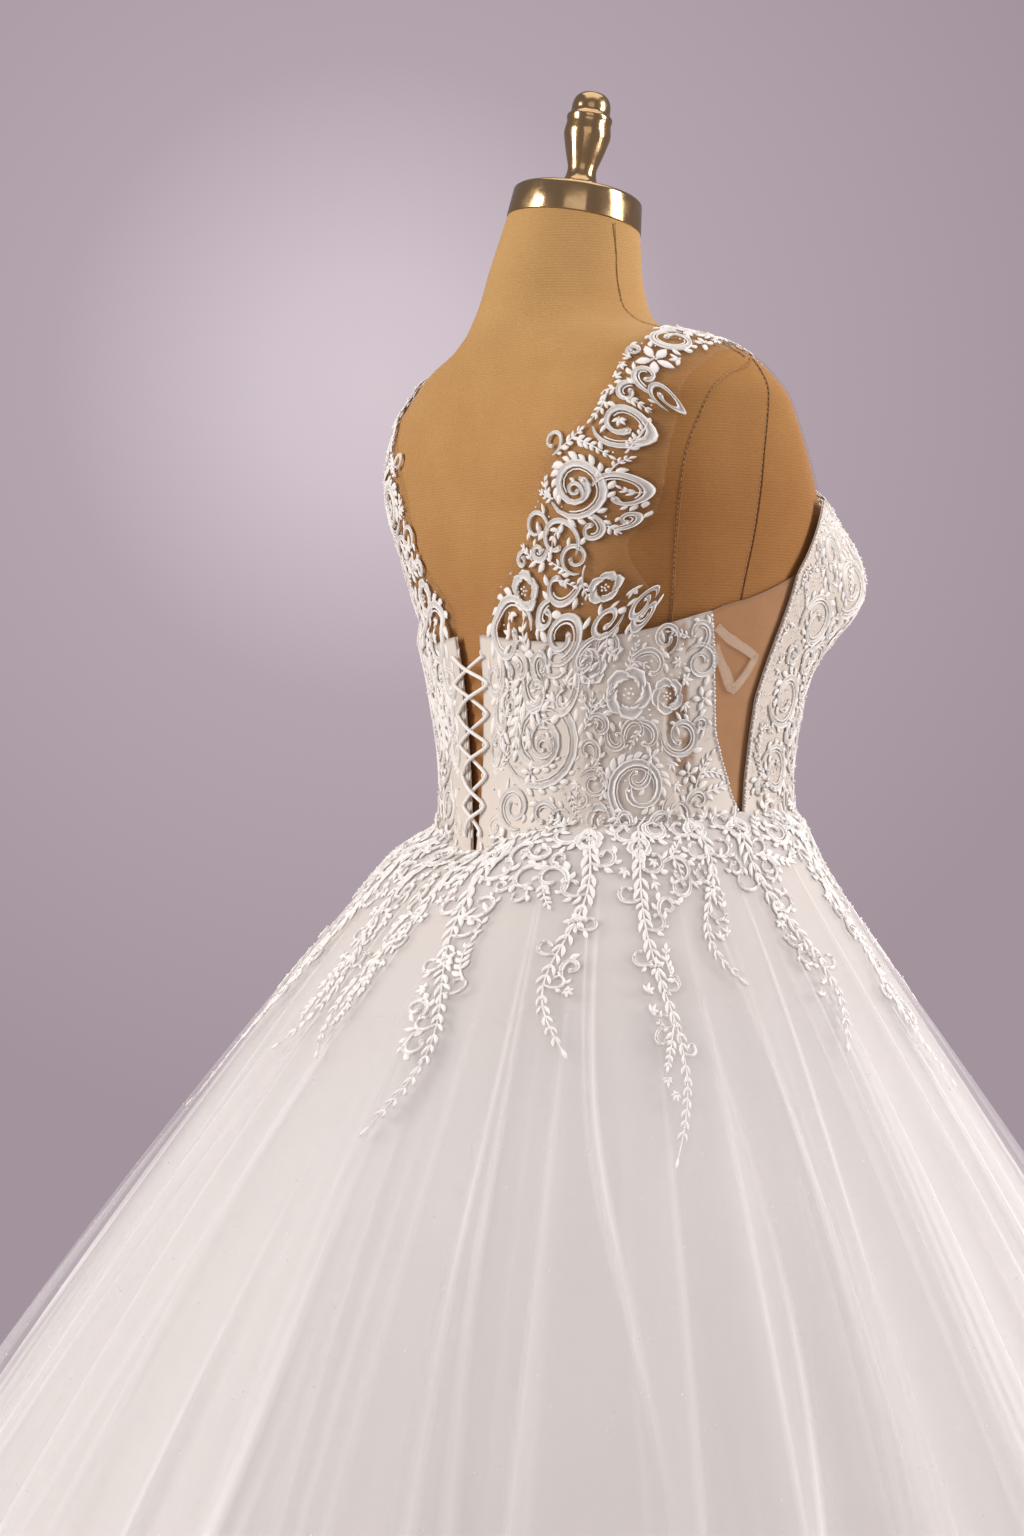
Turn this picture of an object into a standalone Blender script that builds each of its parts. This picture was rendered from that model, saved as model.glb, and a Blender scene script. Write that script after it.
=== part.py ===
"""A lace and tulle wedding gown on a covered dress form with a turned neck knob, a pole and a round base.

Metres, +Z up. The origin is the middle of the base's underside, on the floor. The gown's front faces -Y and
the wearer's left is +X. Every cloth piece is a sheet of points worked out on the form or on the skirt's
flare, lifted off what it lies on, and thickened outwards.
"""

import math

import bmesh
import bpy
import numpy as np
from mathutils import Matrix, Vector
from mathutils.geometry import delaunay_2d_cdt

MM = 0.001
SEAM_GAP = 0.3 * MM

# ---------------------------------------------------------------- the dress form
# The trunk's level sections: half width at the sides, how far the back and the front reach in Y, the Y of the
# widest line, and the power of the rounded outline, 2 for an ellipse and more for a squarer one.
FORM_COLUMNS = ("height", "half_width", "back", "front", "middle", "power")
FORM = np.array([
    (0.800, 0.186, 0.146, -0.122, 0.012, 2.2),
    (0.900, 0.188, 0.150, -0.130, 0.010, 2.2),
    (1.000, 0.166, 0.138, -0.130, 0.004, 2.2),
    (1.060, 0.146, 0.124, -0.130, 0.000, 2.2),
    (1.120, 0.140, 0.122, -0.130, -0.002, 2.2),
    (1.180, 0.149, 0.124, -0.132, 0.000, 2.3),
    (1.250, 0.168, 0.132, -0.128, 0.004, 2.4),
    (1.300, 0.186, 0.137, -0.120, 0.010, 2.6),
    (1.360, 0.203, 0.138, -0.102, 0.020, 2.9),
    (1.410, 0.205, 0.126, -0.078, 0.022, 2.8),
    (1.438, 0.192, 0.118, -0.058, 0.022, 2.4),
    (1.452, 0.171, 0.118, -0.046, 0.026, 2.1),
    (1.464, 0.133, 0.119, -0.036, 0.034, 1.8),
    (1.476, 0.093, 0.119, -0.028, 0.044, 1.8),
    (1.496, 0.067, 0.113, -0.022, 0.046, 2.0),
    (1.530, 0.058, 0.104, -0.018, 0.043, 2.0),
    (1.575, 0.054, 0.087, -0.020, 0.0335, 2.0),
])
BUST = {"across": 0.090, "height": 1.276, "depth": 0.066, "half_width": 0.060, "above": 0.062, "below": 0.050}
FORM_BOTTOM = 0.800
NECK_TOP = Vector((0.0, 0.036, 1.560))
NECK_LEAN = math.radians(10)
FORM_SIDES = 26
FORM_RINGS = (
    0.80, 0.94, 1.04, 1.08, 1.12, 1.16, 1.20, 1.24, 1.266, 1.286, 1.304, 1.322, 1.345, 1.38, 1.412, 1.436,
    1.452, 1.464, 1.476, 1.494, 1.52,
)


def smooth_column(table, column, at):
    """A table's column at any value of its first column, by cubics that never overshoot a row."""
    rows, values = table[:, 0], table[:, column]
    step = np.diff(rows)
    rise = np.diff(values) / step
    slope = np.zeros_like(values)
    before, after = 2 * step[1:] + step[:-1], step[1:] + 2 * step[:-1]
    same_way = rise[:-1] * rise[1:] > 0
    left = np.where(same_way, rise[:-1], 1.0)
    right = np.where(same_way, rise[1:], 1.0)
    slope[1:-1] = np.where(same_way, (before + after) / (before / left + after / right), 0.0)
    slope[0], slope[-1] = rise[0], rise[-1]
    at = np.clip(np.asarray(at, float), rows[0], rows[-1])
    row = np.clip(np.searchsorted(rows, at) - 1, 0, len(step) - 1)
    t = (at - rows[row]) / step[row]
    return (
        (1 + 2 * t) * (1 - t) ** 2 * values[row]
        + t * (1 - t) ** 2 * step[row] * slope[row]
        + t * t * (3 - 2 * t) * values[row + 1]
        + t * t * (t - 1) * step[row] * slope[row + 1]
    )


def form_column(name, height):
    return smooth_column(FORM, FORM_COLUMNS.index(name), height)


def bust_depth(x, height):
    """How far the cups stand out in front of the plain section."""
    tall = np.where(height > BUST["height"], BUST["above"], BUST["below"])
    across = (np.abs(x) - BUST["across"]) / BUST["half_width"]
    return BUST["depth"] * np.exp(-(across**2) - ((height - BUST["height"]) / tall) ** 2)


def form_chart(turn, height):
    """The form's surface. Turn, in radians, runs from the wearer's left: a quarter is the centre back."""
    turn, height = np.broadcast_arrays(np.asarray(turn, float), np.asarray(height, float))
    along, across = np.cos(turn), np.sin(turn)
    power = 2 / form_column("power", height)
    middle = form_column("middle", height)
    x = form_column("half_width", height) * np.sign(along) * np.abs(along) ** power
    reach = np.where(across > 0, form_column("back", height) - middle, middle - form_column("front", height))
    cups = np.where(across < 0, bust_depth(x, height) * np.sqrt(np.abs(across)), 0)
    y = middle + reach * np.sign(across) * np.abs(across) ** power - cups
    return np.stack([x, y, height], -1)


def outside_form(points):
    """Whether each of an array of points lies outside the form."""
    x, y, height = points[..., 0], points[..., 1], points[..., 2]
    middle, power = form_column("middle", height), form_column("power", height)
    width = np.abs(x) / form_column("half_width", height)
    across = np.sqrt(np.clip(1 - np.minimum(width, 1) ** power, 0, 1))
    reach = across ** (2 / power)
    behind = middle + (form_column("back", height) - middle) * reach
    ahead = middle - (middle - form_column("front", height)) * reach - bust_depth(x, height) * np.sqrt(across)
    return (width > 1) | (y > behind) | (y < ahead)


SHOULDER_AXIS = (0.025, 1.345)  # Y and height of the line that the yoke is measured round


def shoulder_reach(x, angle):
    """How far the form lies from the shoulder axis, level backwards at 0 and upwards at a quarter."""
    near, far = np.zeros(np.shape(angle)), np.full(np.shape(angle), 0.32)
    for _ in range(36):
        half = (near + far) / 2
        back, up = SHOULDER_AXIS[0] + half * np.cos(angle), SHOULDER_AXIS[1] + half * np.sin(angle)
        points = np.stack([x, back, up], -1)
        out = outside_form(points)
        near, far = np.where(out, near, half), np.where(out, half, far)
    return near


def yoke_measure():
    """Angles round the shoulder axis and the length of cloth up to each, along a shoulder strap's middle."""
    angle = np.radians(np.linspace(-85, 262, 348))
    reach = shoulder_reach(np.full(angle.shape, 0.120), angle)
    y, height = reach * np.cos(angle), reach * np.sin(angle)
    length = np.concatenate([[0], np.cumsum(np.hypot(np.diff(y), np.diff(height)))])
    return angle, length - np.interp(0.0, angle, length)


YOKE_ANGLES, YOKE_LENGTHS = yoke_measure()


def yoke_chart(x, along):
    """The form's surface over a shoulder: x across, and the length of cloth up the back and to the front."""
    x, along = np.broadcast_arrays(np.asarray(x, float), np.asarray(along, float))
    angle = np.interp(along, YOKE_LENGTHS, YOKE_ANGLES)
    reach = shoulder_reach(x, angle)
    back, up = SHOULDER_AXIS[0] + reach * np.cos(angle), SHOULDER_AXIS[1] + reach * np.sin(angle)
    return np.stack([x, back, up], -1)


def lifted(chart, first, second, lift):
    """Points of a chart, moved out along its normal by the lift."""
    first, second = np.broadcast_arrays(np.asarray(first, float), np.asarray(second, float))
    step = 1e-4
    here = chart(first, second)
    one = chart(first + step, second) - chart(first - step, second)
    two = chart(first, second + step) - chart(first, second - step)
    normal = np.cross(one, two)
    normal /= np.linalg.norm(normal, axis=-1, keepdims=True) + 1e-15
    middle = np.stack([here[..., 0] * 0.6, np.full(first.shape, 0.02), here[..., 2] - 0.02], -1)
    outwards = np.sign(np.sum(normal * (here - middle), -1, keepdims=True))
    return here + normal * outwards * np.asarray(lift)[..., None]


# ---------------------------------------------------------------- cloth: lifts, walls and seam lines
FORM_EASE = 3.0 * MM  # how far the form itself lies inside the surface that the gown is fitted on
NET_LIFT = 1.2 * MM  # the see-through net lies next to the form, under the edges of the bodice
NET_WALL = 1.0 * MM
BODICE_LIFT = 4.2 * MM
BODICE_WALL = 1.5 * MM
CHANNEL_RAISE = 0.8 * MM  # how far a boning channel stands out of the back panels
LACE_ON_NET = 4.0 * MM
LACE_ON_BODICE = 8.1 * MM
LACE_ON_SKIRT = 4.2 * MM
LACE_WALL = 1.2 * MM
BAR_WIDTH = 2.4 * MM
STEM_STEP = 75 * MM  # a stem has one more point for each such length
SEAM_TUCK = 6 * MM  # how far the bodice runs down behind the skirt's top edge, and the net behind the bodice

# Seam lines on the form, against degrees past the centre back: 0 there, 90 at the side and 180 at the
# centre front.
BACK_TOP = np.array([
    (0, 1.235), (20, 1.228), (35, 1.2265), (47, 1.229), (64, 1.2365), (83, 1.250), (90, 1.252),
])
SEAM_HEIGHT = np.array([
    (0, 1.066), (6, 1.066), (20, 1.076), (35, 1.084), (62, 1.086), (84, 1.0905), (98, 1.0965), (140, 1.0965),
    (180, 1.086),
])
# The bodice's side edges, as height and degrees past the centre back. Between the two lies the side net.
SIDE_BACK = np.array([
    (1.094, 96.3), (1.1095, 93.3), (1.1325, 90.8), (1.159, 87.7), (1.1915, 86.5), (1.225, 85.0),
    (1.250, 83.3),
])
SIDE_FRONT = np.array([
    (1.096, 97.7), (1.136, 99.3), (1.1825, 99.5), (1.2285, 103.3), (1.259, 106.0), (1.281, 108.0),
    (1.3365, 125.0),
])
# The front neckline, as distance from the centre and height, and the lacing gap, as height and half width.
FRONT_TOP = np.array([
    (0.0, 1.236), (0.020, 1.252), (0.050, 1.292), (0.090, 1.326), (0.125, 1.333), (0.180, 1.337),
])
LACING_GAP = np.array([(1.060, 0.003), (1.100, 0.0075), (1.136, 0.0110), (1.190, 0.0150), (1.240, 0.0180)])


def line(table, at, column=1):
    """A table's column at any value of its first column, straight between rows."""
    return np.interp(at, table[:, 0], table[:, column])


def turn_of(past, side):
    """The form chart's turn at degrees past the centre back, on the wearer's left (1) or right (-1)."""
    return np.radians(90 - side * np.asarray(past, float))


def past_at(x, height):
    """Degrees past the centre back of a point on the back, from its distance across."""
    width = np.clip(np.abs(x) / form_column("half_width", height), 0, 1)
    return np.degrees(np.arcsin(width ** (form_column("power", height) / 2)))


def surface(name, points, outer, finish):
    """A closed wall between two grids of points, its squares split along their shorter diagonals."""
    rows, columns = points.shape[:2]
    count = rows * columns
    index = np.arange(count).reshape(rows, columns)
    a, b, c, d = index[:-1, :-1], index[1:, :-1], index[1:, 1:], index[:-1, 1:]
    flat = points.reshape(-1, 3)
    one, other = np.linalg.norm(flat[a] - flat[c], axis=-1), np.linalg.norm(flat[b] - flat[d], axis=-1)
    swap = (one > other + 1e-7)[..., None]
    first = np.where(swap, np.stack([a, b, d], -1), np.stack([a, b, c], -1))
    second = np.where(swap, np.stack([b, c, d], -1), np.stack([a, c, d], -1))
    inner = np.concatenate([first.reshape(-1, 3), second.reshape(-1, 3)])
    rim = np.concatenate([index[:, 0], index[-1, 1:], index[-2::-1, -1], index[0, -2:0:-1]])
    after = np.roll(rim, -1)
    walls = np.stack([after, rim, rim + count, after + count], -1)
    faces = [*inner[:, ::-1].tolist(), *(inner + count).tolist(), *walls.tolist()]
    return solid(name, np.concatenate([points.reshape(-1, 3), outer.reshape(-1, 3)]), faces, finish)


def solid(name, points, faces, finish):
    """An object from points and faces, its faces turned to point out."""
    mesh = bpy.data.meshes.new(name)
    places = [tuple(point) for point in np.asarray(points, float)]
    mesh.from_pydata(places, [], [tuple(face) for face in faces])
    shape = bmesh.new()
    shape.from_mesh(mesh)
    bmesh.ops.recalc_face_normals(shape, faces=shape.faces)
    if shape.calc_volume(signed=True) < 0:
        bmesh.ops.reverse_faces(shape, faces=shape.faces)
    shape.to_mesh(mesh)
    shape.free()
    mesh.materials.append(finish)
    mesh.shade_smooth()
    mesh.set_sharp_from_angle(angle=math.radians(40))
    made = bpy.data.objects.new(name, mesh)
    bpy.context.scene.collection.objects.link(made)
    return made


def material(name, color, roughness, metallic=0.0):
    """A plain finish of one colour."""
    made = bpy.data.materials.new(name)
    made.use_nodes = True
    shader = made.node_tree.nodes["Principled BSDF"]
    shader.inputs["Base Color"].default_value = (*color, 1.0)
    shader.inputs["Roughness"].default_value = roughness
    shader.inputs["Metallic"].default_value = metallic
    return made


def tube_faces(rings, sides):
    """The squares between rings of points, bottom to top, and the flat faces that close both ends."""
    faces = []
    for level in range(rings - 1):
        for side in range(sides):
            here, there = level * sides + side, level * sides + (side + 1) % sides
            faces.append((here, there, there + sides, here + sides))
    top = (rings - 1) * sides
    faces.append(tuple(range(sides - 1, -1, -1)))
    faces.append(tuple(range(top, top + sides)))
    return faces


def turned(name, profile, sides, place, finish):
    """A turned piece: a profile of radius and height spun round, closed flat at both ends and placed."""
    radius, height = np.array(profile, float).T[..., None]
    ring = np.linspace(0, 2 * math.pi, sides, endpoint=False)
    body = np.stack([radius * np.cos(ring), radius * np.sin(ring), height + 0 * ring], -1).reshape(-1, 3)
    points = [place @ Vector(point) for point in body]
    return solid(name, points, tube_faces(len(profile), sides), finish)


# ---------------------------------------------------------------- the form and its stand
CAP_RADIUS = 54 * MM
CAP_HEIGHT = 25.5 * MM
# The cap, the knob on it and the base, as radius and height in millimetres. The knob has a foot, a neck, a
# belly, a ring and a barrel, and the base a low dish and a collar for the pole.
CAP = ((53, 0), (54, 1), (51.4, 23), (48.5, 25.5))
KNOB = (
    (15, 0), (15, 9), (12.4, 13), (11.2, 21), (15.2, 34), (19, 49), (17.4, 59), (18.2, 61), (18.2, 64),
    (15.6, 66), (15.4, 74), (13.4, 79.5), (8.5, 83.5),
)
BASE = ((198, 0), (200, 2), (200, 8), (194, 12), (34, 22), (28, 30), (22, 58), (20, 60))
POLE_RADIUS = 16 * MM
BASE_HEIGHT = 60 * MM
CAP_SIDES, KNOB_SIDES, POLE_SIDES, BASE_SIDES = 24, 12, 16, 24


def neck_place(up):
    """The place of a piece that stands up from the leaning top of the neck."""
    lean = Matrix.Rotation(NECK_LEAN, 4, "X")
    return Matrix.Translation(NECK_TOP + lean @ Vector((0, 0, up))) @ lean


def build_torso(finish):
    """The trunk: level rings up to the neck's root, and a last one that leans to meet the cap."""
    turn = np.linspace(0, 2 * math.pi, FORM_SIDES, endpoint=False)
    rings = [lifted(form_chart, turn, height, -FORM_EASE + 0 * turn) for height in FORM_RINGS]
    top = neck_place(-SEAM_GAP)
    radius = CAP_RADIUS - 0.5 * MM
    rings.append(np.array([top @ Vector((radius * math.cos(t), radius * math.sin(t), 0)) for t in turn]))
    solid("form_torso", np.concatenate(rings), tube_faces(len(rings), FORM_SIDES), finish)


def in_metres(profile):
    """A profile in millimetres, as metres."""
    return [(radius * MM, height * MM) for radius, height in profile]


def build_stand(brass, steel):
    """The cap and the knob on the neck, and the pole and the base under the trunk."""
    turned("form_cap", in_metres(CAP), CAP_SIDES, neck_place(0), brass)
    turned("form_finial", in_metres(KNOB), KNOB_SIDES, neck_place(CAP_HEIGHT + SEAM_GAP), brass)
    floor = Matrix.Identity(4)
    pole = ((POLE_RADIUS, BASE_HEIGHT + SEAM_GAP), (POLE_RADIUS, FORM_BOTTOM - SEAM_GAP))
    turned("stand_pole", pole, POLE_SIDES, floor, steel)
    turned("stand_base", in_metres(BASE), BASE_SIDES, floor, steel)


# ---------------------------------------------------------------- the bodice's panels and nets
# Across a back panel: the part of its width from the lacing to the side, and whether a boning channel rises
# there.
BACK_COLUMNS = np.array([
    (0, 1), (0.10, 1), (0.125, 0), (0.25, 0), (0.385, 0), (0.41, 1), (0.465, 1), (0.49, 0), (0.60, 0),
    (0.71, 0), (0.735, 1), (0.79, 1), (0.815, 0), (0.91, 0), (1.0, 0),
])
BACK_ROWS = 8
FRONT_COLUMNS = 21
FRONT_ROWS = 11
FRONT_TOP_EASE = 1.6 * MM  # how much further the front stands off the form at its top edge than at the waist
# The side net: how far its edges run behind the panels, in degrees, and the heights of its foot and its top
# corners.
SIDE_NET_TUCK = 1.6
SIDE_NET_FOOT, SIDE_NET_BACK_TOP, SIDE_NET_FRONT_TOP = 1.092, 1.247, 1.279
SIDE_NET_COLUMNS, SIDE_NET_ROWS = 6, 9


def lacing_edge(height):
    """Degrees past the centre back of a back panel's laced edge."""
    return past_at(line(LACING_GAP, height), height)


def build_back_panel(name, side, finish):
    """A back panel, from its laced edge to its side edge, and from behind the skirt's top to the corset's."""
    across, up = np.meshgrid(BACK_COLUMNS[:, 0], np.linspace(0, 1, BACK_ROWS))
    height = 1.07 + 0.16 * up
    for _ in range(12):
        past = lacing_edge(height) * (1 - across) + line(SIDE_BACK, height) * across
        height = (line(SEAM_HEIGHT, past) - SEAM_TUCK) * (1 - up) + line(BACK_TOP, past) * up
    turn = turn_of(past, side)
    wall = BODICE_LIFT + BODICE_WALL + CHANNEL_RAISE * BACK_COLUMNS[:, 1] + 0 * up
    inner = lifted(form_chart, turn, height, BODICE_LIFT + 0 * up)
    outer = lifted(form_chart, turn, height, wall)
    surface(name, inner, outer, finish)


def build_front(finish):
    """The front in one piece, from side edge to side edge, and up to the deep neckline."""
    across, up = np.meshgrid(np.linspace(-1, 1, FRONT_COLUMNS), np.linspace(0, 1, FRONT_ROWS))
    height = 1.09 + 0.20 * up
    for _ in range(40):
        past = 180 - np.abs(across) * (180 - line(SIDE_FRONT, height))
        turn = turn_of(past, np.where(across < 0, -1, 1))
        top = line(FRONT_TOP, np.abs(form_chart(turn, height)[..., 0]))
        height = height * 0.5 + 0.5 * ((line(SEAM_HEIGHT, past) - SEAM_TUCK) * (1 - up) + top * up)
    lift = BODICE_LIFT + FRONT_TOP_EASE * up**4
    inner, outer = (lifted(form_chart, turn, height, lift + thick) for thick in (0, BODICE_WALL))
    surface("bodice_front", inner, outer, finish)


def build_side_net(name, side, finish):
    """The see-through wedge under the arm, its edges tucked behind the back and front panels."""
    across, up = np.meshgrid(np.linspace(0, 1, SIDE_NET_COLUMNS), np.linspace(0, 1, SIDE_NET_ROWS))
    back_height = SIDE_NET_FOOT + (SIDE_NET_BACK_TOP - SIDE_NET_FOOT) * up
    front_height = SIDE_NET_FOOT + (SIDE_NET_FRONT_TOP - SIDE_NET_FOOT) * up
    behind = line(SIDE_BACK, back_height) - SIDE_NET_TUCK
    ahead = line(SIDE_FRONT, front_height) + SIDE_NET_TUCK
    past = behind * (1 - across) + ahead * across
    height = back_height * (1 - across) + front_height * across
    turn, lift = turn_of(past, side), NET_LIFT + 0 * up
    inner, outer = (lifted(form_chart, turn, height, lift + thick) for thick in (0, NET_WALL))
    surface(name, inner, outer, finish)


YOKE_BACK_END, YOKE_FRONT_START = 0.05, 0.93  # where the yoke's ends begin, which follow the bodice's tops
# The yoke's edges, from the corset's top at the back to the bodice's top at the front. A row is the part of
# the way over the shoulder, then the length of cloth along and the distance from the centre, of the neck's
# edge and of the arm's.
YOKE = np.array([
    (0.00, -0.097, 0.023, -0.136, 0.158),
    (0.05, -0.077, 0.027, -0.106, 0.157),
    (0.10, -0.062, 0.046, -0.080, 0.156),
    (0.15, -0.044, 0.074, -0.062, 0.158),
    (0.20, -0.020, 0.089, -0.048, 0.173),
    (0.26, 0.002, 0.095, -0.022, 0.184),
    (0.32, 0.030, 0.113, 0.010, 0.190),
    (0.38, 0.055, 0.137, 0.045, 0.193),
    (0.44, 0.082, 0.149, 0.080, 0.195),
    (0.49, 0.112, 0.149, 0.112, 0.195),
    (0.54, 0.140, 0.142, 0.142, 0.194),
    (0.59, 0.170, 0.128, 0.170, 0.190),
    (0.65, 0.205, 0.113, 0.205, 0.184),
    (0.72, 0.245, 0.096, 0.245, 0.176),
    (0.79, 0.285, 0.079, 0.285, 0.171),
    (0.86, 0.325, 0.063, 0.325, 0.168),
    (0.93, 0.362, 0.055, 0.355, 0.166),
    (1.00, 0.420, 0.044, 0.392, 0.165),
])


def yoke_along(x, height, front):
    """The length of cloth along the yoke at which it comes down to a height, in front or behind."""
    degrees = np.linspace(92, 258, 167) if front else np.linspace(88, -84, 173)
    length = np.interp(np.radians(degrees), YOKE_ANGLES, YOKE_LENGTHS)
    grid = yoke_chart(x[..., None], length)
    below = grid[..., 2] <= height[..., None]
    first = np.argmax(below, -1)
    return length[np.where(below.any(-1), first, degrees.size - 1)]


def yoke_points(part, across):
    """Places in the yoke chart, from the parts of the way over the shoulder and across from neck to arm."""
    columns = [smooth_column(YOKE, column, part) for column in range(1, 5)]
    x = columns[1] * (1 - across) + columns[3] * across
    along = columns[0] * (1 - across) + columns[2] * across
    back_end = yoke_along(x, line(BACK_TOP, past_at(x, 1.235)) - SEAM_TUCK, front=False)
    front_end = yoke_along(x, line(FRONT_TOP, x) - SEAM_TUCK, front=True)
    near_back = np.clip(1 - part / YOKE_BACK_END, 0, 1)
    near_front = np.clip((part - YOKE_FRONT_START) / (1 - YOKE_FRONT_START), 0, 1)
    along = along * (1 - near_back) + back_end * near_back
    return x, along * (1 - near_front) + front_end * near_front


def build_yoke(name, side, finish):
    """The see-through yoke over a shoulder, its ends tucked behind the bodice's top edges."""
    parts = np.concatenate([[0], np.linspace(YOKE_BACK_END, YOKE_FRONT_START, 15), [0.955, 0.98, 1]])
    across, part = np.meshgrid(np.linspace(0, 1, 5), parts)
    x, along = yoke_points(part, across)
    lift = NET_LIFT + 0 * part
    inner, outer = (lifted(yoke_chart, side * x, along, lift + thick) for thick in (0, NET_WALL))
    surface(name, inner, outer, finish)


# ---------------------------------------------------------------- the skirts
FOLDS = 24  # soft folds round the skirt, three to a gore
GORES = 8
GORE_STEPS = 12  # columns of a gore, four to a fold
GORE_GAP = 0.0004  # radians from a gore's edge to its seam line, and the same for the underskirt's panels
PANEL_GAP = 0.0006
HEM = 10 * MM
UNDERSKIRT_HEM = 30 * MM
UNDERSKIRT_PANELS = 6
UNDERSKIRT_STEPS = 6  # columns of a panel
OVERSKIRT_STAND = BODICE_LIFT + BODICE_WALL + CHANNEL_RAISE + 0.7 * MM  # off the form, at the top edge
OVERSKIRT_WALL = 1.5 * MM
UNDERSKIRT_STAND = 3 * MM
UNDERSKIRT_WALL = 1.5 * MM
# The skirt's side line behind and in front: a slope, a start just under the waist seam, where the gathers
# puff out or the hip holds the cloth back, and a spring over the hips. Each of the two has a fall that it
# levels off by.
SIDE_LINE = {
    "back": {"slope": 0.605, "start": 18 * MM, "start_fall": 14 * MM, "spring": 0.130, "spring_fall": 0.400},
    "front": {"slope": 0.50, "start": -15 * MM, "start_fall": 32 * MM, "spring": 0.165, "spring_fall": 0.800},
}
SKIRT_FALL = 1.09  # the longest fall below the waist seam
FOLD_DEPTH = np.array([(0.0, 0.0), (0.10, 0.002), (0.25, 0.007), (0.50, 0.017), (0.80, 0.030), (1.10, 0.042)])


def waist_measure():
    """The form's distance from the axis all round at the waist seam, against the direction from the axis."""
    turn = np.linspace(0, 2 * math.pi, 241)
    height = line(SEAM_HEIGHT, np.abs((np.degrees(turn) - 90 + 180) % 360 - 180))
    near, far = np.zeros(turn.shape), np.full(turn.shape, 0.3)
    for _ in range(30):
        half = (near + far) / 2
        out = outside_form(np.stack([half * np.cos(turn), half * np.sin(turn), height], -1))
        near, far = np.where(out, near, half), np.where(out, half, far)
    return turn, near, height


WAIST_TURN, WAIST_RADIUS, WAIST_HEIGHT = waist_measure()


def flare(place, drop):
    """How far the skirt stands out past the waist, at the back or the front and at a fall below the seam."""
    shape = SIDE_LINE[place]
    start = shape["start"] * (1 - np.exp(-((drop / shape["start_fall"]) ** 2)))
    return shape["slope"] * drop + start + shape["spring"] * (1 - np.exp(-drop / shape["spring_fall"]))


def fall_lengths():
    """Lengths of cloth down the skirt against the fall below the waist, midway from the back to the front."""
    fall = np.linspace(0, SKIRT_FALL, 219)
    out = (flare("back", fall) + flare("front", fall)) / 2
    return fall, np.concatenate([[0], np.cumsum(np.hypot(np.diff(fall), np.diff(out)))])


FALLS, CLOTH_LENGTHS = fall_lengths()
SKIRT_CLOTH = CLOTH_LENGTHS[-1]


def skirt_turn(phase):
    """The direction of a place counted evenly in folds, which lie unevenly round the skirt."""
    return phase + 0.045 * np.sin(3 * phase + 0.7) + 0.025 * np.sin(5 * phase + 2.0)


def fold_wave(phase):
    """A fold's profile from trough to ridge, -1 to 1, round the skirt, with ridges of unequal height."""
    height = 0.75 + 0.25 * np.sin(2 * phase + 0.4) * np.sin(5 * phase + 1.1)
    return height * -np.cos(FOLDS * phase)


def skirt_chart(phase, length, stand=OVERSKIRT_STAND, hem=HEM, fullness=1.0, fold=1.0):
    """The overskirt's inner side: a place round it, and the length of cloth below the waist seam."""
    phase, length = np.broadcast_arrays(np.asarray(phase, float), np.asarray(length, float))
    turn = skirt_turn(phase)
    waist = np.interp(turn % (2 * math.pi), WAIST_TURN, WAIST_HEIGHT)
    drop = np.interp(length, CLOTH_LENGTHS, FALLS) * (waist - hem) / SKIRT_FALL
    behind = 0.5 + 0.5 * np.sin(turn)
    out = flare("front", drop) * (1 - behind) + flare("back", drop) * behind
    radius = np.interp(turn % (2 * math.pi), WAIST_TURN, WAIST_RADIUS) + stand + out * fullness
    radius = radius + fold * 0.5 * line(FOLD_DEPTH, drop) * fold_wave(phase)
    return np.stack([radius * np.cos(turn), radius * np.sin(turn), waist - drop], -1)


SKIRT_ROWS = np.array([0.0, 0.014, 0.045, 0.10, 0.19, 0.31, 0.47, 0.70, 1.0])
UNDERSKIRT_ROWS = np.array([0.016, 0.045, 0.10, 0.19, 0.32, 0.50, 0.73, 1.0])


def build_overskirt(finish):
    """The overskirt's gores, seamed along the troughs of its folds."""
    for gore in range(GORES):
        ends = 2 * math.pi * gore / GORES + GORE_GAP, 2 * math.pi * (gore + 1) / GORES - GORE_GAP
        phase, part = np.meshgrid(np.linspace(*ends, GORE_STEPS + 1), SKIRT_ROWS)
        inner = skirt_chart(phase, part * SKIRT_CLOTH)
        outer = lifted(skirt_chart, phase, part * SKIRT_CLOTH, OVERSKIRT_WALL + 0 * part)
        surface(f"overskirt_gore_{gore + 1}", inner, outer, finish)


def underskirt_chart(phase, length):
    """The underskirt's surface: less full than the overskirt, with a quarter of its fold depth."""
    return skirt_chart(phase, length, stand=UNDERSKIRT_STAND, hem=UNDERSKIRT_HEM, fullness=0.93, fold=0.25)


def build_underskirt(finish):
    """The underskirt's panels."""
    width = 2 * math.pi / UNDERSKIRT_PANELS
    for panel in range(UNDERSKIRT_PANELS):
        ends = width * panel + PANEL_GAP, width * (panel + 1) - PANEL_GAP
        phase, part = np.meshgrid(np.linspace(*ends, UNDERSKIRT_STEPS + 1), UNDERSKIRT_ROWS)
        inner = underskirt_chart(phase, part * SKIRT_CLOTH)
        outer = lifted(underskirt_chart, phase, part * SKIRT_CLOTH, UNDERSKIRT_WALL + 0 * part)
        surface(f"underskirt_panel_{panel + 1}", inner, outer, finish)


# ---------------------------------------------------------------- lace
PANEL_REACH = 0.150  # metres across the bodice's flat chart for each radian round it
HIP_REACH = 0.300  # the same for the skirt's top


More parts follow.
